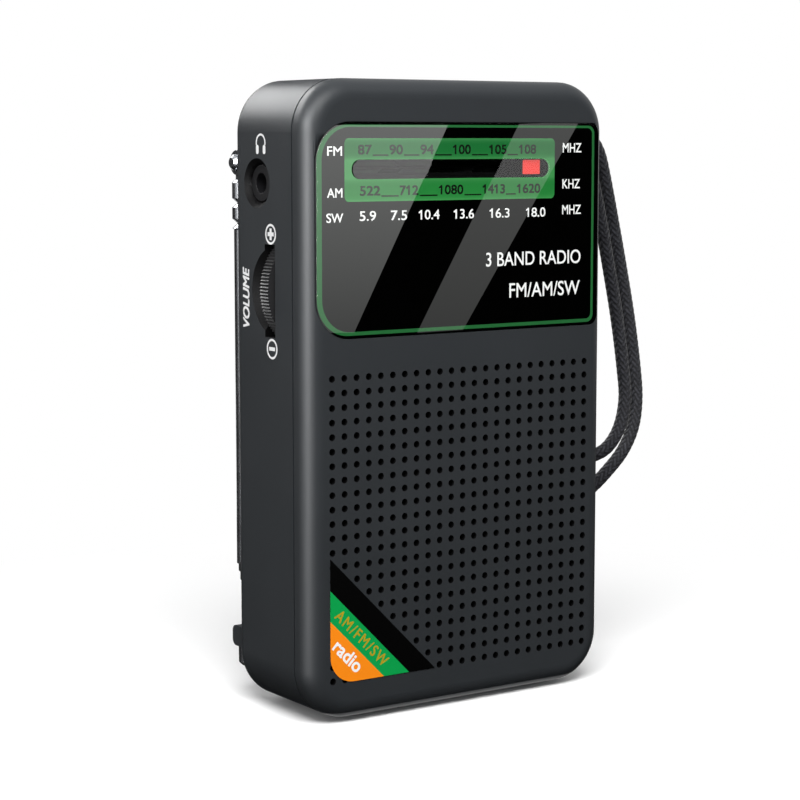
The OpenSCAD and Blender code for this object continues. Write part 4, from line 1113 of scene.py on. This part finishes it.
# %% [markdown]
# The table is a pale floor that goes on to the horizon, white to the eye and to anything that mirrors it,
# while its own shade keeps the soft shadow under the radio. A backdrop lit until it is white would light the
# radio too. One mask from the Light Path node keeps the two apart, in the floor and in the world.

# %% Floor and world
FADE_FROM, FADE_OVER = 50, 110
FILL = 0.50


def sight(graph):
    """Two masks: what the camera sees straight on, and what it sees mirrored or through something."""
    rays = ("Is Camera Ray", "Is Glossy Ray", "Is Transmission Ray")
    straight, glossy, through = [graph.node("ShaderNodeLightPath", output=ray) for ray in rays]
    return straight, glossy.most(through)


bpy.ops.object.select_all(action="DESELECT")
bpy.ops.mesh.primitive_plane_add(size=6, location=(0, 0, 0))
table = bpy.context.object
table.name = "table"
pale = Finish("table_top", Roughness=0.9, Specular_IOR_Level=0.0)
where = pale.place()
x, y = where.part("X"), where.part("Y")
away = ((x * x + y * y).sum("SQRT") - FADE_FROM) / FADE_OVER
by_eye, in_mirrors = sight(pale)
pale.feed("Base Color", pale.blend(by_eye.most(in_mirrors), grey(0.25), grey(0.93)))
shaded = Sock(pale, pale.shader.outputs[0])
white = pale.node("ShaderNodeEmission", inputs={"Strength": 1.0})
veil = (away.held() * by_eye).most(in_mirrors)
pale.cover(pale.node("ShaderNodeMixShader", inputs={0: veil, 1: shaded, 2: white}))
wear(table, pale)

world = bpy.data.worlds.new("studio")
bpy.context.scene.world = world
world.use_nodes = True
studio = Graph(world.node_tree)
by_eye, in_mirrors = sight(studio)
strength = FILL + (1 - FILL) * by_eye.most(in_mirrors)
background = studio.tree.nodes["Background"].inputs
background["Color"].default_value = grey(1.0)
studio.tree.links.new(strength.socket, background["Strength"])
print("floor and world ready")

# %% [markdown]
# The lamps are soft boxes, as in a shop's photo booth. One above the front lights the radio, more at the top
# than at the foot, and weak ones at the left and behind fill in. Three only draw gloss: two upright ones at
# the left make the long light edge down the case, and one behind and above brightens the corner at the
# top left.

# %% Lamps
AIM = Vector((0, 0, 0.06))


def soft_box(name, place, size, power, matt=True, gloss=True):
    """An area lamp that looks at the radio. matt and gloss say what it lights."""
    bpy.ops.object.light_add(type="AREA", location=place)
    lamp = bpy.context.object
    lamp.name = name
    lamp.data.shape = "RECTANGLE"
    lamp.data.size, lamp.data.size_y = size
    lamp.data.energy = power
    lamp.rotation_euler = (AIM - Vector(place)).to_track_quat("-Z", "Y").to_euler()
    lamp.visible_diffuse = matt
    lamp.visible_glossy = gloss


soft_box("top_box", (-0.16, -0.24, 0.385), (0.30, 0.22), 2.9)
soft_box("left_box", (-0.85, 0.05, 0.35), (0.6, 0.6), 0.4, gloss=False)
soft_box("edge_box", (-0.68, -0.29, 0.07), (0.36, 1.0), 37.0, matt=False)
soft_box("side_box", (-0.74, -0.02, 0.07), (0.26, 1.0), 12.0, matt=False)
soft_box("back_box", (-0.12, 0.50, 0.38), (0.42, 0.22), 4.6, matt=False)
soft_box("rear_box", (0.50, 0.72, 0.12), (0.6, 0.5), 4.0, gloss=False)
print("lamps ready")

# %% [markdown]
# A glossy black lens shows what stands in front of it. The slanting pale bands on the dial are two lit
# panels mirrored in it, and the deep black between them is a dark screen behind the panels. Both stand where
# the mirrored sight lines go: from the camera to a point of the lens, and from there forward again. More
# dark cloth stands behind and lies in front and at the left, where the faces of the case look, so that the
# plastic stays dark. All are hidden from the camera, and they cast no shadow.

# %% Mirrored panels
PANEL_DISTANCE = 0.42
SCREEN_DISTANCE = 0.46
# Corners of what the lens mirrors, in pixels of the picture
LEFT_BAND = [(300, 125), (449, 125), (355, 333), (205, 333)]
MIDDLE_BAND = [(520, 124), (580, 122), (464, 330), (418, 333)]
ALL_ROUND = [(-500, -700), (1500, -700), (1500, 1500), (-500, 1500)]
UPRIGHT = (math.pi / 2, 0, 0)
MATT_BLACK = {"Base_Color": grey(0.0), "Specular_IOR_Level": 0.0, "Roughness": 1.0}
black_cloth = Finish("black_cloth", **MATT_BLACK)


def mirrored(px, py, distance):
    """Where the sight line through a pixel arrives, after the lens has sent it back to a plane in front."""
    across, down = [(p / IMAGE - 0.5) * SENSOR / FOCAL for p in (px, py)]
    ray = camera.rotation_euler.to_matrix() @ Vector((across, -down, -1))
    on_lens = EYE + ray * ((lens_low[1] - EYE.y) / ray.y)
    back = Vector((ray.x, -ray.y, ray.z))
    return on_lens + back * (distance / -back.y)


def sheet(name, place=(0, 0, 0), size=(1, 1), turn=(0, 0, 0)):
    """A matt black sheet of the stage that only mirroring surfaces can see."""
    bpy.ops.object.select_all(action="DESELECT")
    bpy.ops.mesh.primitive_plane_add(size=1, location=place, rotation=turn, scale=(*size, 1))
    piece = bpy.context.object
    piece.name = name
    wear(piece, black_cloth)
    piece.visible_camera = piece.visible_shadow = piece.visible_diffuse = False
    return piece


def panel(name, pixels, distance, light=None):
    """A sheet with its corners at four mirrored pixels. light gives its glow at the foot and at the head."""
    corners = [mirrored(px, py, distance) for px, py in pixels]
    piece = sheet(name)
    for point, corner in zip((0, 1, 3, 2), corners):
        piece.data.vertices[point].co = corner
    if light:
        glow = Finish(name, Emission_Strength=1.0, **MATT_BLACK)
        foot, head = [pick(c.z for c in corners) / MM for pick in (min, max)]
        share = ((glow.place().part("Z") - foot) / (head - foot)).held()
        glow.feed("Emission Color", glow.blend(share, grey(light[0]), grey(light[1])))
        wear(piece, glow)


panel("left_panel", LEFT_BAND, PANEL_DISTANCE, (1.5, 3.8))
panel("middle_panel", MIDDLE_BAND, PANEL_DISTANCE, (1.1, 1.9))
panel("dark_screen", ALL_ROUND, SCREEN_DISTANCE)
sheet("back_screen", (-0.15, 0.53, 0.20), (2.2, 1.3), UPRIGHT)
sheet("left_sheet", (-0.52, 0.20, 0.002), (0.80, 0.65))
sheet("front_sheet", (0.25, -0.30, 0.002), (1.10, 0.44))
print("panels and screens stand round the radio")
